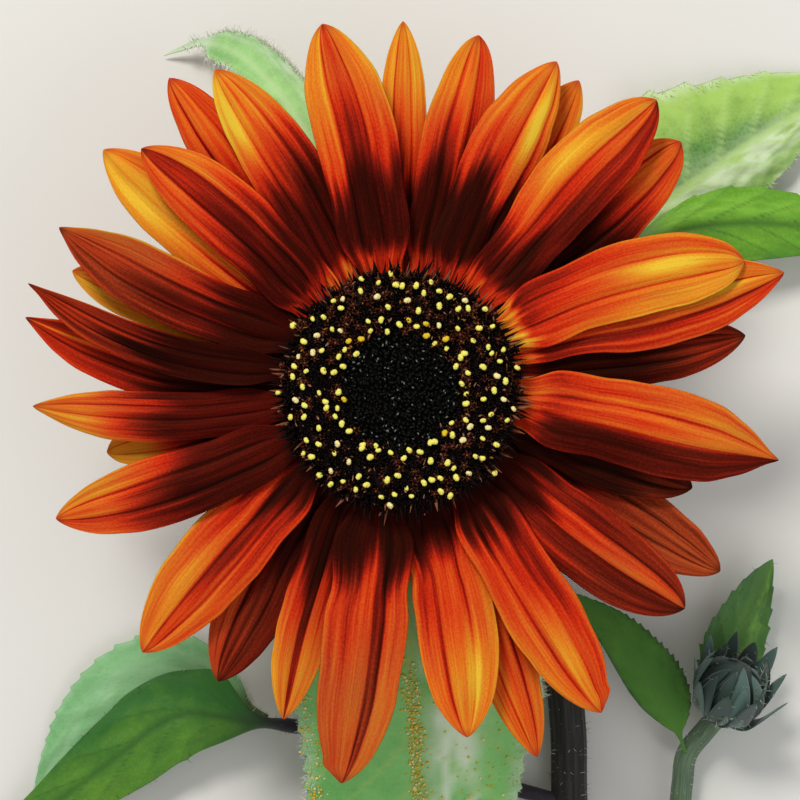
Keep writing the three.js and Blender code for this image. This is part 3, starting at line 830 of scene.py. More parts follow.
# All in mm. The core is radius and height below the disc's top: a shallow dish with a rounded rim.
discLook = {
    "core": [(0, -9.6), (20, -9.6), (22.2, -8), (23.2, -5.6), (23.8, -4.2), (23.2, -2.9), (20.5, -2.0),
             (17, -2.0), (12.5, -2.5), (7, -2.7), (0, -2.7)],
    "budSpacing": 1.02,
    "budZone": 12.2,
    "floretSpacing": 1.5,
    "floretZone": 23.2,
    "chaffSpacing": 0.92,
    "chaffFrom": 21.6,
    "chaffTo": 23.9,
    # Open stigmas stand in three bands: inner edge, a few between, and the broad outer band.
    "stigmas": [
        {"from": 11.9, "to": 14.9, "spacing": 2.5, "turn": 0.4, "seed": 41, "second": "gold"},
        {"from": 15.2, "to": 18.4, "spacing": 4.0, "turn": 1.9, "seed": 43, "second": "cream"},
        {"from": 18.4, "to": 22.9, "spacing": 2.85, "turn": 2.6, "seed": 47, "second": "cream"},
    ],
}


# How many spiral steps lie inside a radius.
def stepsWithin(radius, spacing):
    return int((radius * mm / (spacing * mm)) ** 2 * math.pi / packing)


# A small turned shape, in mm along Z, with its rings drawn in and out to a star by points.
def turnedShape(name, profile, sides, star=(0,), squash=1.0):
    pull = 1 + np.outer(star, np.where(np.arange(sides) % 2, 1, -1))
    rings = turnedRings(profile, sides, pull, squash) * mm
    faces = ringFaces(len(rings), sides)
    faces.append(tuple(range(sides - 1, -1, -1)))
    faces.append(tuple(range((len(rings) - 1) * sides, len(rings) * sides)))
    return asShape(meshFrom(name, rings.reshape(-1, 3), faces))


# Closed disc bud: a blunt egg. Its tip is a separate cap, a little paler.
budBody = turnedShape("discBud", [(0.3, 0), (0.46, 0.5), (0.44, 1.0), (0.26, 1.4), (0.1, 1.52)], 7)
budTip = turnedShape("discBudTip", [(0.12, 1.2), (0.27, 1.42), (0.24, 1.56), (0.08, 1.64)], 6, squash=0.5)
# Open floret: a tube that flares into five pointed lobes, with the dark anther column standing in it.
floretProfile = [(0.34, 0), (0.36, 1.1), (0.5, 1.5), (0.74, 1.96), (0.42, 1.66), (0.24, 1.3)]
floretTube = turnedShape("discFloret", floretProfile, 10, star=[0, 0, 0.05, 0.4, 0.1, 0])
antherColumn = turnedShape("antherColumn", [(0.2, 0.8), (0.25, 1.7), (0.24, 2.1), (0.1, 2.4)], 6)
# Spent anther flake: a small curled scrap standing between the florets.
antherFlake = turnedShape("antherFlake", [(0.12, 1.2), (0.2, 1.9), (0.16, 2.3), (0.04, 2.6)], 5, squash=0.5)
# Chaff: a stiff pointed scale.
chaffProfile = [(0.3, 0), (0.36, 0.9), (0.28, 1.9), (0.12, 2.8), (0.02, 3.5)]
chaffScale = turnedShape("chaffScale", chaffProfile, 5, squash=0.5)


# Pollen-laden stigma: a thin style with curled lobes, each a small grained ball.
def stigmaShape():
    made = bmesh.new()
    for x, y, z, radius in [(0.2, 0.06, 2.3, 0.56), (-0.18, -0.08, 2.42, 0.52), (0.0, 0.16, 2.56, 0.42)]:
        ball = bmesh.ops.create_icosphere(made, subdivisions=1, radius=radius * mm)
        bmesh.ops.translate(made, verts=ball["verts"], vec=(x * mm, y * mm, z * mm))
    sizes = {"segments": 5, "radius1": 0.16 * mm, "radius2": 0.14 * mm, "depth": 1.4 * mm}
    style = bmesh.ops.create_cone(made, cap_ends=True, **sizes)
    bmesh.ops.translate(made, verts=style["verts"], vec=(0, 0, 1.5 * mm))
    mesh = bpy.data.meshes.new("stigma")
    made.to_mesh(mesh)
    made.free()
    mesh.polygons.foreach_set("use_smooth", [True] * len(mesh.polygons))
    return asShape(mesh)


stigma = stigmaShape()

# Disc floret tissues: soft and matt, near black with a green cast in the middle, wine-brown outside.
budDark = plainMaterial("discBudWaxyGreenBlack", "#090b07", roughness=0.5, specular=0.1)
# Painted glints: grey caps that stand for highlights on the bud tips.
budPaintedGlint = plainMaterial("discBudTipGrey", "#6b6c66", roughness=0.42, specular=0.4)
budBlack = plainMaterial("discBudTipDark", "#121410", roughness=0.5, specular=0.15)
floretDark = plainMaterial("discFloretWineBlack", "#120705", specular=0.1)
floretBrown = plainMaterial("discFloretUmberBrown", "#512410", specular=0.15)
antherDark = plainMaterial("antherTubeBlack", "#0a0504", roughness=0.5, specular=0.15)
antherBrown = plainMaterial("antherTubeRoseBrown", "#6d3a2a", roughness=0.5)
anthersOchre = plainMaterial("antherFlakeOchre", "#a86f1c")
anthersRose = plainMaterial("antherFlakeRose", "#a06a58")
# Pollen: dry powder in clumps, so matt and strongly coloured.
powder = {"roughness": 0.8, "specular": 0.15, "grain": 4000.0}
pollen = {
    "yellow": plainMaterial("pollenPowderLemon", "#f6ec70", **powder),
    "cream": plainMaterial("pollenPowderCream", "#f8e6a0", **powder),
    "gold": plainMaterial("pollenPowderGold", "#e6c22c", **powder),
}
chaffDark = plainMaterial("chaffPaperyBlackBrown", "#150806", roughness=0.7, specular=0.1)
chaffGold = plainMaterial("chaffPaperyRoseBrown", "#8d5236", roughness=0.7)


def makeDisc():
    look = discLook
    core = (bloomX, bloomY, discTop)
    core = latheMesh("discCore", smoothProfile(look["core"], 60), 72, core, floretDark)
    addPiece(core, "disc_core", "disc", "disc")
    # The lit top of the disc gets more of the lighter brown finishes: painted light.
    litSide = {"Warm Side": Vector((0.35, 0.9, 0))}

    # One spiral of copies over the radii it covers.
    def spiral(name, shape, first, last, spacing, seed, share, finishes, values):
        ring = {"Centre": Vector((bloomX, bloomY, 0)), "First": first, "Count": last - first}
        ring["Spacing"] = spacing * mm
        return grow(name, core, spirals, shape, seed, share, finishes, {**ring, **values})

    spacing = look["budSpacing"]
    last = stepsWithin(look["budZone"], spacing)
    loose = {"Scale Spread": 0.2, "Jitter": 0.16 * mm}
    bodies = spiral("budBodies", budBody, 0, last, spacing, 21, 0.0, (budDark, budDark), loose)
    # The grey bud tips are painted glints, commoner toward the lit top.
    loose.update({"Scale Spread": 0.35, "Lean Spread": 0.5, "Warm Side": Vector((0, 0.7, 0))})
    tips = spiral("budTips", budTip, 0, last, spacing, 21, 0.2, (budBlack, budPaintedGlint), loose)
    addPiece(joinMeshes("discBuds", [bodies, tips]), "disc_buds", "disc", "disc")

    spacing = look["floretSpacing"]
    first = stepsWithin(look["budZone"] - 0.3, spacing)
    last = stepsWithin(look["floretZone"], spacing)
    ring = {**litSide, "Jitter": 0.14 * mm, "Scale Spread": 0.15, "Lean Spread": 0.25}
    grown = []
    for name, shape, share, finishes in (
        ("floretTubes", floretTube, 0.36, (floretDark, floretBrown)),
        ("antherColumns", antherColumn, 0.2, (antherDark, antherBrown)),
    ):
        grown.append(spiral(name, shape, first, last, spacing, 33, share, finishes, ring))
    # Half as many flakes, so they stand wider apart.
    ring.update({"Jitter": 0.7 * mm, "Scale Spread": 0.4, "Lean Spread": 0.9, "Turn": 1.0})
    last = first // 2 + (last - first) // 2
    first, spacing = first // 2, 1.42 * spacing
    flakes = (anthersRose, anthersOchre)
    grown.append(spiral("antherFlakes", antherFlake, first, last, spacing, 37, 0.35, flakes, ring))
    addPiece(joinMeshes("discFlorets", grown), "disc_florets", "disc", "disc")

    knobs = []
    for band in look["stigmas"]:
        spacing = band["spacing"]
        first, last = stepsWithin(band["from"], spacing), stepsWithin(band["to"], spacing)
        values = {"Turn": band["turn"], "Jitter": 0.55 * mm, "Scale Spread": 0.16, "Lean Spread": 0.3}
        finishes = (pollen["yellow"], pollen[band["second"]])
        knobs.append(spiral("knobs", stigma, first, last, spacing, band["seed"], 0.2, finishes, values))
    addPiece(joinMeshes("pollenKnobs", knobs), "disc_stigmas", "disc", "disc")

    spacing = look["chaffSpacing"]
    first, last = stepsWithin(look["chaffFrom"], spacing), stepsWithin(look["chaffTo"], spacing)
    values = {**litSide, "Jitter": 0.25 * mm, "Scale Spread": 0.25, "Lean": 0.45, "Lean Spread": 0.35}
    chaff = spiral("chaff", chaffScale, first, last, spacing, 57, 0.16, (chaffDark, chaffGold), values)
    addPiece(chaff, "disc_chaff", "disc", "disc")


makeDisc()
print("disc made")

# colours: blade, shade, pale, vein and stalk. veins: how many side veins each half has. slope: how far they
# sweep forward. pucker, toothDepth: mm. teeth: how many each margin has. waist, tip: how much narrower the
# foot and the end are. tint: how much of the shade colour there is, what the right side adds, what the end
# adds, what the left half gains toward the midrib; on leaf_upper_right that gain is painted shadow of the
# petals. pale: where across, how wide, how strong; on leaf_bottom and leaf_upper_right the pale band is
# painted sheen where the light glances off the hairy blade. edge, end: pale margins and end; on bud_leaf_left
# the pale colour is a near-black green, so its margins darken. stalkEnds: where the stalk turns to blade.
# rootReach: mm sunk into the stem. shoulders: side, amount, where, width.
leafBasics = {
    "pucker": 0.45,
    "teeth": (0, 0),
    "toothDepth": 0.0,
    "pale": (0, 1, 0),
    "edge": 0,
    "end": (0, 1, 0),
    "tip": (0, 1, 0),
    "waist": 0,
    "rootReach": 1.6,
    "shoulders": (),
}
leafLooks = {
    "leaf_bottom": {
        "root": "neck", "slot": "leaf", "material": "broadLeafHairySkin",
        "colours": ("#88ce74", "#5fae57", "#dcebd0", "#a9c56a", "#5b7a43"), "veins": 9, "slope": 2.1,
        "pucker": 1.1, "teeth": (30, 30), "toothDepth": 1.3, "pale": (-0.34, 0.2, 1.25), "edge": 0.45,
        "tint": (0.45, 0.3, 0.0, 0.0), "stalkEnds": 0.17,
        "shoulders": [(1, -0.2, 0.54, 0.2), (-1, 0.24, 0.42, 0.09)],
    },
    "leaf_lower_left": {
        "root": "stem", "slot": "dark_leaf", "material": "darkLeafHairySkin",
        "colours": ("#5f9226", "#2b6a20", "#6f9a45", "#28581c", "#2e2830"), "veins": 6, "slope": 1.6,
        "pucker": 0.7, "tint": (0.5, 0.45, -1.1, 0.0), "stalkEnds": 0.43,
        "shoulders": [(1, 0.34, 0.54, 0.025)],
    },
    "leaf_lower_left_behind": {
        "root": "stem", "slot": "leaf", "material": "mintLeafHairySkin",
        "colours": ("#83bf80", "#71b070", "#a6d3a2", "#98c892", "#4f6e3a"), "veins": 6, "slope": 1.6,
        "pucker": 0.6, "teeth": (0, 22), "toothDepth": 0.8, "pale": (0.4, 0.3, 0.5), "edge": 0.5,
        "tint": (0.4, 0.1, 0.0, 0.0), "stalkEnds": 0.06, "rootReach": 1.0,
    },
    "leaf_upper_right": {
        "root": "neck", "slot": "leaf", "material": "foldedLeafQuiltedSkin",
        "colours": ("#a4cc5c", "#47822a", "#d6e9c0", "#b4d684", "#5d7d42"), "veins": 8, "slope": 1.7,
        "pucker": 1.5, "teeth": (16, 0), "toothDepth": 1.5, "pale": (0.3, 0.34, 1.15), "edge": 0.6,
        "tint": (0.08, 0.35, 0.0, 2.4), "stalkEnds": 0.46, "shoulders": [(-1, 0.12, 0.66, 0.07)],
    },
    "leaf_upper_right_inner": {
        "root": "neck", "slot": "leaf", "material": "innerLeafFreshSkin",
        "colours": ("#76b32a", "#4d8a20", "#86c23a", "#2c5c14", "#5d7d42"), "veins": 6, "slope": 1.9,
        "pucker": 0.9, "teeth": (16, 0), "toothDepth": 0.5, "pale": (-0.5, 0.25, 0.7),
        "tint": (0.4, 0.2, 0.0, 0.0), "stalkEnds": 0.5,
    },
    "bract_upper_left": {
        "root": "receptacle", "slot": "leaf", "material": "bractWoollySkin",
        "colours": ("#a3d885", "#6ea555", "#ccd9c6", "#b5d69a", "#7ba35d"), "veins": 5, "slope": 1.5,
        "pale": (0.8, 0.25, 0.6), "edge": 0.8, "end": (0.82, 0.88, 0.9), "tip": (0.82, 0.88, 0.6),
        "tint": (0.4, 0.0, 0.5, 0.0), "stalkEnds": 0.0, "rootReach": 0.6,
        "shoulders": [(-1, 0.4, 0.79, 0.06)],
    },
    "bract_lower_right": {
        "root": "receptacle", "slot": "dark_leaf", "material": "bractShadedSkin",
        "colours": ("#4f7c38", "#39632a", "#6d9653", "#5c8845", "#4f7c38"), "veins": 5, "slope": 1.5,
        "pucker": 0.3, "tint": (0.4, 0.1, 0.0, 0.0), "stalkEnds": 0.0, "rootReach": 0.6,
    },
    "bud_leaf_left": {
        "root": "side_branch", "slot": "dark_leaf", "material": "budLeafDarkSkin",
        "colours": ("#4f8626", "#356c1b", "#22331b", "#4a7d2a", "#5f8f38"), "edge": 0.65, "veins": 6,
        "slope": 1.5, "teeth": (0, 24), "toothDepth": 0.75, "tint": (0.5, 0.1, 0.5, 0.0), "stalkEnds": 0.03,
        "waist": 0.75,
    },
    "bud_leaf_right": {
        "root": "side_branch", "slot": "dark_leaf", "material": "budLeafMidSkin",
        "colours": ("#578a3c", "#4f7c48", "#86bb50", "#6b9a48", "#4a7536"), "veins": 6, "slope": 1.5,
        "teeth": (13, 9), "toothDepth": 0.8, "pale": (0.5, 0.2, 0.9), "tint": (0.4, -0.1, 0.7, 0.0),
        "stalkEnds": 0.03, "rootReach": 0.0, "waist": 0.85,
    },
}

leafShape = {
    "stations": 150,
    "columns": 41,
    "columnArc": 0.8,
    "halfThickness": 0.17 * mm,
    "midribWidth": 0.9 * mm,
    "midribDepth": 0.75 * mm,
    "veinWidth": 0.55 * mm,
    "hairless": 3.2 * mm,
    "hairy": 4.6 * mm,
    # As shares of the pucker.
    "quilt": 0.45,
    "lumps": 0.7,
    "groove": 0.35,
    "marginWave": 2.2,
}


def makeLeaf(node, look):
    shape = leafShape
    seed = len(node) * 2.3 + look["veins"]
    blade = readBlade(node, look["root"])
    spine = blade["spine"]
    spine[0] = spine[0] - unit(spine[1] - spine[0]) * look["rootReach"] * mm
    along = np.linspace(0, 1, shape["stations"] + 1)[:-1]
    across = columnsAcross(shape["columns"], shape["columnArc"])
    bladeStart = look["stalkEnds"]
    wide = max(blade["leftWidth"].max(), blade["rightWidth"].max())

    def widen(u, sign):
        onBlade = ease(bladeStart + 0.03, bladeStart + 0.12, u) * (1 - ease(0.95, 1.0, u))
        wave = 1 + 0.08 * softNoise(u * 6, 0.7 * sign, seed) * onBlade
        teeth = look["teeth"][sign > 0]
        phase = (u * teeth + 0.35 * softNoise(u * 9, sign, seed)) % 1
        size = look["toothDepth"] * (0.8 + softNoise(u * teeth, 3.0 * sign, seed + 1)) * mm / wide
        if teeth:
            wave += onBlade * size * (phase**1.8 - 0.4)
        tipFrom, tipBy, tipLoss = look["tip"]
        wave *= 1 - look["waist"] * (1 - ease(0.02, 0.16, u))
        wave *= 1 - tipLoss * ease(tipFrom, tipBy, u)
        for side, amount, shoulderAt, shoulderWidth in look["shoulders"]:
            if side == sign:
                wave += amount * bell(u, shoulderAt, shoulderWidth)
        return wave

    u, v = along[:, None], across[None, :]
    grid, normal, width, thick = bladeGrid(blade, along, v + 0 * u, widen, tipPower=0.85)
    t = np.clip((u - bladeStart) / (1 - bladeStart), 0, 1)
    stalk = 1 - ease(bladeStart, bladeStart + 0.1, u) if bladeStart > 0.04 else np.zeros_like(u)
    out = np.abs(v) * width
    phase = t * look["veins"] - look["slope"] * np.abs(v) ** 0.85
    phase += 0.25 * softNoise(np.sign(v) * 3, t * 4, seed)
    offVein = np.abs(phase % 1 - 0.5)
    veinGap = blade["length"] * (1 - bladeStart) / look["veins"]
    sideVein = bell(offVein * veinGap, 0, shape["veinWidth"]) * ease(0.01, 0.08, t) * (1 - 0.7 * np.abs(v))
    midrib = bell(out, 0, shape["midribWidth"]) * (1 - 0.6 * t)
    beforeTip = 1 - ease(0.9, 1.0, u)
    onBlade = (1 - stalk) * beforeTip * (1 - 0.6 * np.abs(v) ** 4)
    quilt = ease(0.0, 0.5, offVein) - 0.5
    lumps = softNoise(t * look["veins"] * 2.1, v * 5, seed + 3)
    lumps += 0.6 * softNoise(t * look["veins"] * 4.5, v * 11, seed)
    pucker = look["pucker"] * mm
    height = pucker * (shape["quilt"] * -quilt + shape["lumps"] * lumps) * onBlade * ease(0, 4 * mm, out)
    height -= shape["groove"] * pucker * midrib * onBlade
    wave = softNoise(u * 7, np.sign(v) * 2, seed + 5)
    height += shape["marginWave"] * pucker * wave * np.abs(v) ** 2 * onBlade
    stalkHalf = thick[:, None] * np.sqrt(np.clip(1 - v**2, 0, 1))
    bladeHalf = shape["halfThickness"] * np.clip(1 - v**8, 0, 1) ** 0.5 * (1 - 0.4 * u)
    above = bladeHalf + (stalkHalf - bladeHalf) * stalk
    below = above + shape["midribDepth"] * midrib * (1 - stalk) * beforeTip
    above[:, [0, -1]] = 0
    below[:, [0, -1]] = 0
    upper = grid + normal * (height + above)[..., None]
    lower = grid + normal * (height - below)[..., None]
    vein = np.clip(np.maximum(midrib * 0.95, 0.75 * sideVein), 0, 1) * (1 - stalk)
    tintAt, tintSide, tintAlong, innerPaintedShade = look["tint"]
    tint = tintAt + tintSide * v + tintAlong * (t - 0.5)
    # Painted shadow of the petals: the left half darkens toward the midrib.
    tint += innerPaintedShade * (v < 0) * (1 - np.abs(v)) ** 1.4 * (1 - t)
    tint = np.clip(tint + 0.5 * softNoise(t * 5, v * 2, seed + 8), 0, 1)
    # On leaf_bottom and leaf_upper_right the pale band is painted sheen, and its quilting paints highlights
    # on the puckered blade.
    at, spread, strength = look["pale"]
    quilting = 0.7 + 1.1 * softNoise(t * 16, v * 9, seed + 2) + 0.9 * softNoise(t * 37, v * 19, seed + 3)
    pale = strength * bell(v, at, spread) * quilting * ease(0.0, 0.15, t)
    pale = np.maximum(pale, look["edge"] * ease(0.8, 1.0, np.abs(v)) * (0.8 + softNoise(t * 40, v, seed)))
    paleFrom, paleBy, paleness = look["end"]
    pale = np.clip(np.maximum(pale, paleness * ease(paleFrom, paleBy, u)), 0, 0.9)
    # No hairs where the blade lies close to the ground.
    downy = np.clip(ease(0.86, 0.99, np.abs(v)) + 0.25 * stalk, 0, 1)
    downy *= ease(shape["hairless"], shape["hairy"], grid[..., 2])
    values = {"vein": vein, "tint": tint, "pale": pale, "stalk": stalk * np.ones_like(vein), "downy": downy}
    material = leafMaterial(look["material"], look["colours"])
    mesh = shellMesh(node, upper, lower, spine[-1], across, along, values, material)
    addPiece(mesh, node + "_skin", look["slot"], node)
    return mesh


leafMeshes = {node: makeLeaf(node, {**leafBasics, **look}) for node, look in leafLooks.items()}
print("leaves made")

# colours: dark, light, young and pith. greenUntil: how far from the head the young colour fades, as a share.
stemLook = {
    "sides": 44,
    "step": 1.2 * mm,
    "ribs": 11,
    "ribHeight": 0.16 * mm,
    "lumps": 0.3 * mm,
    "pithDish": 0.5 * mm,
    "colours": ("#171614", "#33302a", "#46592f", "#cfd3ab"),
    "greenUntil": 0.22,
}
branchLook = {
    "sides": 32,
    "step": 1.0 * mm,
    "ribs": 8,
    "ribHeight": 0.1 * mm,
    "lumps": 0.2 * mm,
    "pithDish": 0.0,
    "colours": ("#4b6150", "#66805c", "#587549", "#587549"),
    "greenUntil": 0.0,
}


# The length of a stem's swellings, and the length of stem that the skin's pattern covers once.
lumpLength = 9 * mm
skinTile = 60 * mm


def limbLine(node, sides, rootNode):
    rings = walkRings(node, sides, rootNode)[0]
    centres = np.array([ring.mean(0) for ring in rings])
    radii = np.array([np.linalg.norm(ring - ring.mean(0), axis=1).mean() for ring in rings])
    return centres, radii


def makeLimb(name, centres, radii, look, slot, *replaced):
    knots, length = knotsOf(centres)
    stations = int(length / look["step"])
    along = np.linspace(0, 1, stations)
    line = throughPoints(knots, centres, along)
    radius = throughPoints(knots, radii, along)
    forward = unit(np.gradient(line, axis=0))
    side = unit(np.cross(forward[0], (0.0, 0.3, 1.0)))
    sides = look["sides"]
    turn = fullTurn * np.arange(sides) / sides
    ribs = look["ribHeight"] * (np.cos(look["ribs"] * turn) - 0.6)
    rings = []
    for i in range(stations):
        side = unit(side - (side @ forward[i]) * forward[i])
        other = np.cross(forward[i], side)
        outward = np.cos(turn)[:, None] * side + np.sin(turn)[:, None] * other
        lumps = look["lumps"] * softNoise(along[i] * length / lumpLength, np.cos(turn) * 2 + 7, 4.0)
        rings.append(line[i] + (radius[i] + ribs + lumps)[:, None] * outward)
    # The cut end: a thin rim of skin round a slightly sunken pith.
    end = rings[-1]
    sunk = forward[-1] * look["pithDish"]
    for share, dish in ((0.88, 0), (0.8, 1), (0.4, 1.2)):
        rings.append(line[-1] + share * (end - line[-1]) - dish * sunk)
    vertices = np.vstack(rings + [line[0][None], (line[-1] - 1.2 * sunk)[None]])
    faces = ringFaces(len(rings), sides, poles=True)
    reachAlong = np.concatenate([along, [1.0, 1.0, 1.0]])
    reach = np.repeat(reachAlong * length / skinTile, sides)
    uv = np.stack([reach, np.tile(turn / math.pi, len(rings))], axis=1)
    uv = np.vstack([uv, [[0, 0], [1, 0]]])
    pith = np.concatenate([np.zeros(stations * sides), np.repeat([0.6, 1, 1], sides), [0, 1]])
    greenUntil = look["greenUntil"]
    green = np.concatenate([np.repeat(1 - ease(0.0, greenUntil + 1e-6, reachAlong), sides), [1, 0]])
    downy = ease(0.9 * mm, 1.8 * mm, vertices[:, 2])
    downy[stations * sides :] = 0
    values = {"pith": pith, "green": green * (greenUntil > 0), "downy": downy}
    mesh = meshFrom(name, vertices, faces, uv, values, stemMaterial(name + "RibbedSkin", look["colours"]))
    addPiece(mesh, name, slot, *replaced)
    return mesh


neckCentres, neckRadii = limbLine("neck", sidesOfStem, "receptacle")
stemCentres, stemRadii = limbLine("stem", sidesOfStem, "neck")
stemCentres = np.vstack([neckCentres[:-1], stemCentres[1:]])
stemRadii = np.concatenate([neckRadii[:-1], stemRadii[1:]])
stemMesh = makeLimb("flower_stem", stemCentres, stemRadii, stemLook, "stem", "stem", "neck")
branchCentres, branchRadii = limbLine("side_branch", sidesOfBranch, "stem")
# The branch grows out of the stem, so its foot reaches a little way into it.
inward = unit(branchCentres[0] - branchCentres[1])
branchCentres = np.vstack([branchCentres[0] + inward * 2 * mm, branchCentres])
branchRadii = np.concatenate([[branchRadii[0] + 0.4 * mm], branchRadii])
branchMesh = makeLimb("bud_branch", branchCentres, branchRadii, branchLook, "branch", "side_branch")
print("stem and branch made")

# A bract has this many stations and columns, and is this thick.
bractShape = {"stations": 13, "columns": 7, "thickness": 0.5 * mm}


# A bract that follows a profile of out and up, in mm. It runs along +X, so its right side is -Y, its top +Z.
def bractFrom(name, profile, halfWidth, channel):
    stations, columns = bractShape["stations"], bractShape["columns"]
    profile = np.array(profile, float) * mm
    along = np.linspace(0, 1, stations + 1)[:-1]
    line = throughPoints(knotsOf(profile)[0], profile, along)
    across = np.linspace(-1, 1, columns)
    outline = halfWidth * mm * (1 - 0.35 * (1 - along / 0.3).clip(0) ** 2) * (1 - along**2.6) ** 0.8
    middle = np.zeros((stations, columns, 3))
    middle[..., 0] = line[:, 0][:, None]
    middle[..., 1] = -across[None, :] * outline[:, None]
    middle[..., 2] = line[:, 1][:, None] + channel * mm * across[None, :] ** 2 * (1 - along[:, None])
    normal = unit(np.cross(np.gradient(middle, axis=1), np.gradient(middle, axis=0)))
    half = 0.5 * bractShape["thickness"] * (1 - across[None, :] ** 4) * (1 - 0.5 * along[:, None])
    rise = normal * half[..., None]
    tip = np.array([profile[-1, 0], 0, profile[-1, 1]])
    values = {"downy": np.ones((stations, columns))}
    return asShape(shellMesh(name, middle + rise, middle - rise, tip, across, along, values))


# One bract shape for each whorl, all of them joined.
def growWhorls(name, look, carrier, finishes, centre, axis):
    grown = []
    for i, (out, up, wide, count, turn) in enumerate(look["whorls"]):
        bract = bractFrom(f"{name}Shape{i}", list(zip(out, up)), wide, look["channel"])
        values = {"Count": count, "Turn": turn, "Wobble": look["wobble"], "Scale Spread": look["spread"]}
        values.update({"Centre": centre, "Axis": axis})
        seed, share = look["seed"] + i, look["share"]
        grown.append(grow(f"{name}{i}", carrier, whorls, bract, seed, share, finishes, values))
    return joinMeshes(name, grown)


# Phyllaries: leathery green bracts, hairy on the back.
leathery = {"roughness": 0.65, "sheen": 0.2, "grain": 900.0}
phyllaryGreen = plainMaterial("phyllaryLeatheryGreen", "#5f8f45", **leathery)
phyllaryDark = plainMaterial("phyllaryLeatheryDeepGreen", "#47742f", **leathery)

headLow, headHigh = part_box("involucre")
headReach = (headHigh.x - headLow.x) / 2 / mm
# A whorl is how far out and how far up it runs, in mm from the middle of the head's underside, then its
# bracts' half width, their count and their turn.
headLook = {
    "whorls": [
        ([11.6, 17, 23, 29, headReach], [0.9, 1.8, 4.6, 7.2, 9.0], 4.4, 21, 0.0),
        ([11.4, 16, 21, 26, 31.5], [0.4, 1.1, 2.9, 5.0, 6.6], 4.1, 21, 0.15),
        ([11.2, 15, 19, 23, 27], [0.1, 0.6, 1.8, 3.6, 5.2], 3.8, 15, 0.07),
    ],
    "channel": 0.5,
    "wobble": 0.06,
    "spread": 0.06,
    "share": 0.4,
    "seed": 70,
}


def makeHeadBack():
    low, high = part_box("receptacle")
    tall = (high.z - low.z) / mm
    wide = (high.x - low.x) / 2 / mm
    profile = [(0, 0), (5, 0), (10, 0.5), (15, 2.4), (19, 5.2), (wide - 0.2, 9.4)]
    profile = smoothProfile(profile + [(wide, tall - 1), (wide - 1, tall), (0, tall)], 40)
    body = latheMesh("receptacleBody", profile, 64, (bloomX, bloomY, low.z), phyllaryGreen)
    addPiece(body, "receptacle_body", "leaf", "receptacle")
    centre = Vector((bloomX, bloomY, headLow.z))
    finishes = (phyllaryGreen, phyllaryDark)
    bracts = growWhorls("phyllaries", headLook, body, finishes, centre, Vector((0, 0, 1)))
    addPiece(bracts, "phyllaries", "leaf", "involucre")


makeHeadBack()
print("back of the head made")

# Bud bracts: thick, blue-green and bristly, with dark points.
bristly = {"sheen": 0.3, "grain": 900.0}
bractBlue = plainMaterial("budBractGlaucousGreen", "#4d6a62", **bristly)
bractDeep = plainMaterial("budBractDeepGreen", "#2e443e", **bristly)

# The whorls run out from the bud's axis and up along it, in mm from its lower end.
budLook = {
    "whorls": [
        ([3.4, 7.2, 8.6, 9.8, 11.2], [-1.4, 1.6, 4.8, 8.6, 12.6], 2.6, 9, 0.0),
        ([3.0, 6.6, 7.7, 7.6, 6.4], [-0.6, 2.2, 5.6, 9.4, 13.4], 2.5, 9, 0.35),
        ([2.6, 6.0, 7.0, 5.6, 2.4], [0.2, 2.8, 6.4, 10.2, 13.2], 2.6, 8, 0.1),
    ],
    "channel": -0.6,
    "wobble": 0.16,
    "spread": 0.08,
    "share": 0.45,
    "seed": 80,
}


# The bud's two end points, where most edges meet, the lower one first.
def budAxis():
    mesh = welded("bud")
    most = max(len(vertex.link_edges) for vertex in mesh.verts)
    ends = [vertex.co.copy() for vertex in mesh.verts if len(vertex.link_edges) == most]
    mesh.free()
    return sorted(ends, key=lambda end: end.z)


def makeBud():
    low, high = budAxis()
    axis = (high - low).normalized()
    profile = [(0, 0), (3.6, 0.3), (6.0, 3.2), (6.6, 6.4), (5.0, 9.6), (2.2, 11.2)]
    profile.append((0, (high - low).length / mm))
    core = latheMesh("budCore", smoothProfile(profile, 24), 36, (0, 0, 0), bractDeep)
    turn = Vector((0, 0, 1)).rotation_difference(axis)
    core.transform(Matrix.Translation(low) @ turn.to_matrix().to_4x4())
    addPiece(core, "bud_core", "bud", "bud")
    bracts = growWhorls("budBracts", budLook, core, (bractBlue, bractDeep), low, axis)
    addPiece(bracts, "bud_bract_whorls", "bud", "bud_bracts")
    return bracts


budBractMesh = makeBud()
print("bud made")


# Each hair tapers and bends a little; it is 1 mm long before scaling.
def hairShape(name, thickness, bend, rings=4):
    share = np.arange(rings) / rings
    points = turnedRings(np.stack([thickness * (1 - share), share], axis=1), 3)
    points[..., 0] += (bend * share**2)[:, None]
    vertices = np.vstack([points.reshape(-1, 3), [(bend, 0, 1)]]) * mm
    last = rings * 3
    faces = ringFaces(rings, 3) + [(last - 3 + k, last - 3 + (k + 1) % 3, last) for k in range(3)]
    return asShape(meshFrom(name, vertices, faces + [(2, 1, 0)]))


bristle = hairShape("bristle", 0.05, 0.25)
softHair = hairShape("softHair", 0.05, 0.4)
pollenGrain = turnedShape("pollenGrain", [(0.05, 0), (0.14, 0.05), (0.16, 0.13), (0.08, 0.24)], 5)

# Plant hair: clear and pale, so it reads as a white fringe.
hairWhite = plainMaterial("plantHairClearWhite", "#f3f6e8", roughness=0.5, sheen=0.3)
hairGreen = plainMaterial("plantHairClearGreen", "#b9cda4", roughness=0.4, specular=0.4)
hairCream = plainMaterial("plantHairPollenCream", "#f0e6a6", sheen=0.3)
hairBrown = plainMaterial("stemBristleAmber", "#9b8a6b", roughness=0.45, specular=0.4)
toothDark = plainMaterial("marginBristleDark", "#2c3a22", roughness=0.5)

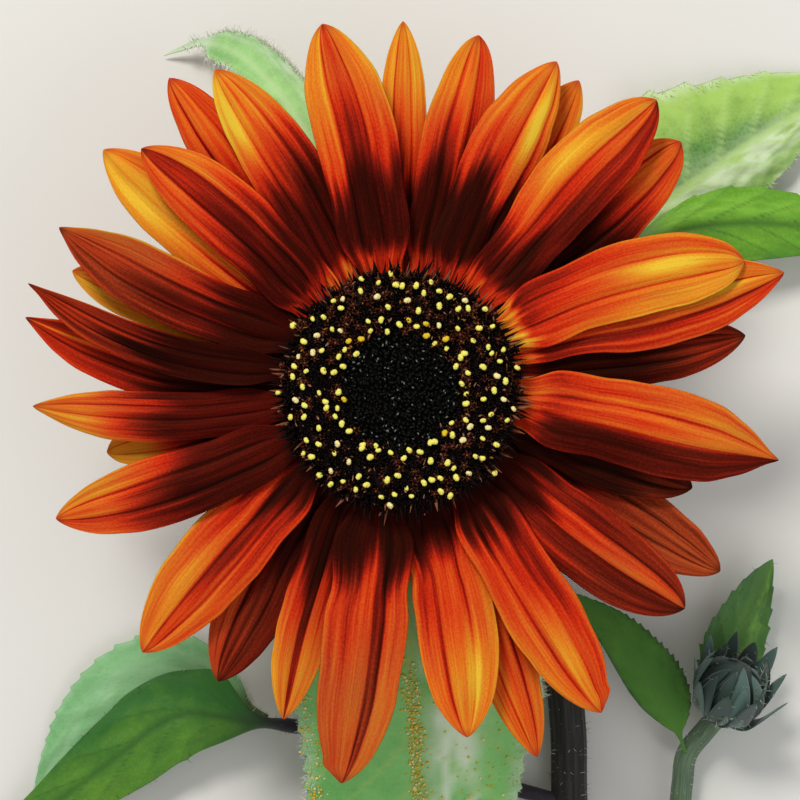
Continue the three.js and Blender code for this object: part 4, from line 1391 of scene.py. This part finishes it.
woolly = [leafMeshes["bract_upper_left"]]
fringed = [leafMeshes[node] for node in ("leaf_bottom", "leaf_upper_right", "leaf_lower_left_behind")]
darkFringed = [leafMeshes[node] for node in ("bud_leaf_left", "bud_leaf_right", "leaf_lower_left")]
hairiness = [
    # piece, slot, surfaces, shape, hairs to the square mm, length in mm, the two finishes
    ("stem_bristles", "stem", [stemMesh], bristle, 0.17, 1.3, (hairBrown, hairWhite)),
    ("branch_bristles", "branch", [branchMesh], bristle, 0.22, 1.0, (hairWhite, hairGreen)),
    ("bud_bristles", "bud", [budBractMesh], bristle, 0.16, 1.1, (hairGreen, hairWhite)),
    ("bract_down", "leaf", woolly, softHair, 14.0, 1.8, (hairWhite, hairWhite)),
    ("leaf_fringes", "leaf", fringed, bristle, 2.4, 1.5, (hairWhite, hairCream)),
    ("dark_leaf_fringes", "dark_leaf", darkFringed, bristle, 0.5, 1.1, (toothDark, hairGreen)),
]


def makeHairs():
    for i, (name, slot, surfaces, shape, density, length, finishes) in enumerate(hairiness):
        values = {"Density": density / mm**2, "Scale": length, "Scale Spread": 0.4, "Lean Spread": 0.45}
        grown = []
        for j, surface in enumerate(surfaces):
            grown.append(grow(f"{name}{j}", surface, down, shape, 100 + 10 * i + j, 0.35, finishes, values))
        addPiece(joinMeshes(name, grown), name, slot)


makeHairs()


# Spilt pollen lies on the broad leaf, along its midrib and near its right margin.
def makePollen():
    surface = leafMeshes["leaf_bottom"].copy()
    corners = np.empty(len(surface.loops), np.int32)
    surface.loops.foreach_get("vertex_index", corners)
    places = np.empty(len(corners) * 2)
    surface.uv_layers["UVMap"].data.foreach_get("uv", places)
    uv = np.zeros((len(surface.vertices), 2))
    uv[corners] = places.reshape(-1, 2)
    normals = np.empty(len(surface.vertices) * 3)
    surface.vertices.foreach_get("normal", normals)
    u, v = uv[:, 0], uv[:, 1] * 2 - 1
    patches = softNoise(u * 30, v * 9, 6.0) + 0.5
    amount = bell(v, 0.0, 0.045) + 0.12 * bell(v, -0.6, 0.25) * patches
    amount += 0.45 * bell(v, 0.93, 0.07) * patches
    amount *= ease(0.3, 0.5, u) * (normals.reshape(-1, 3)[:, 2] > 0.2)
    surface.attributes["downy"].data.foreach_set("value", amount)
    values = {"Density": 5.0 / mm**2, "Scale": 1.5, "Scale Spread": 0.5, "Lean Spread": 0.6}
    finishes = (pollen["gold"], pollen["cream"])
    spilt = grow("spiltPollen", surface, down, pollenGrain, 190, 0.4, finishes, values)
    addPiece(spilt, "spilt_pollen", "leaf")


makePollen()
print("hairs and pollen made")

for shape in shapes:
    bpy.data.objects.remove(shape)

studio = {
    "floor": "#e9e8e3",
    "floorSize": 3.0,
    "floorDrop": 0.3 * mm,
    # name, place from the bloom, size, power, colour
    "lights": [
        ("keyLight", (-0.30, 0.62, 0.85), 0.32, 8.0, (1.0, 0.97, 0.92)),
        ("fillLight", (0.7, -0.5, 0.8), 1.0, 2.4, (0.95, 0.98, 1.0)),
    ],
    "skyStrength": 0.42,
    "cameraHeight": 0.675,
    "cameraDrop": 2 * mm,
    "lens": 139.5,
}


def addLight(name, place, size, power, colour):
    data = bpy.data.lights.new(name, "AREA")
    data.shape = "DISK"
    data.size = size
    data.energy = power
    data.color = colour
    light = bpy.data.objects.new(name, data)
    target = Vector((bloomX, bloomY, discTop))
    light.location = target + Vector(place)
    light.rotation_euler = (target - light.location).to_track_quat("-Z", "Y").to_euler()
    bpy.context.scene.collection.objects.link(light)


def makeStudio():
    scene = bpy.context.scene
    half = studio["floorSize"] / 2
    corners = [(-half, -half), (half, -half), (half, half), (-half, half)]
    mesh = bpy.data.meshes.new("paleFloor")
    mesh.from_pydata([(x, y, -studio["floorDrop"]) for x, y in corners], [], [(0, 1, 2, 3)])
    board = newMaterial("paleBoardMatt", {"Base Color": linear(studio["floor"]), "Roughness": 0.9})[0]
    mesh.materials.append(board)
    floor = bpy.data.objects.new("pale_floor", mesh)
    scene.collection.objects.link(floor)
    for light in studio["lights"]:
        addLight(*light)
    world = bpy.data.worlds.new("softSky")
    world.use_nodes = True
    sky = world.node_tree.nodes["Background"]
    sky.inputs["Color"].default_value = (1, 1, 1, 1)
    sky.inputs["Strength"].default_value = studio["skyStrength"]
    scene.world = world
    data = bpy.data.cameras.new("camera")
    data.sensor_width = 36
    data.lens = studio["lens"]
    camera = bpy.data.objects.new("camera", data)
    camera.location = (bloomX, bloomY - studio["cameraDrop"], studio["cameraHeight"])
    scene.collection.objects.link(camera)
    scene.camera = camera
    scene.view_settings.view_transform = "Standard"


makeStudio()
print("studio made")

print("triangles", sum(sum(len(p.vertices) - 2 for p in piece.data.polygons) for piece in pieces))
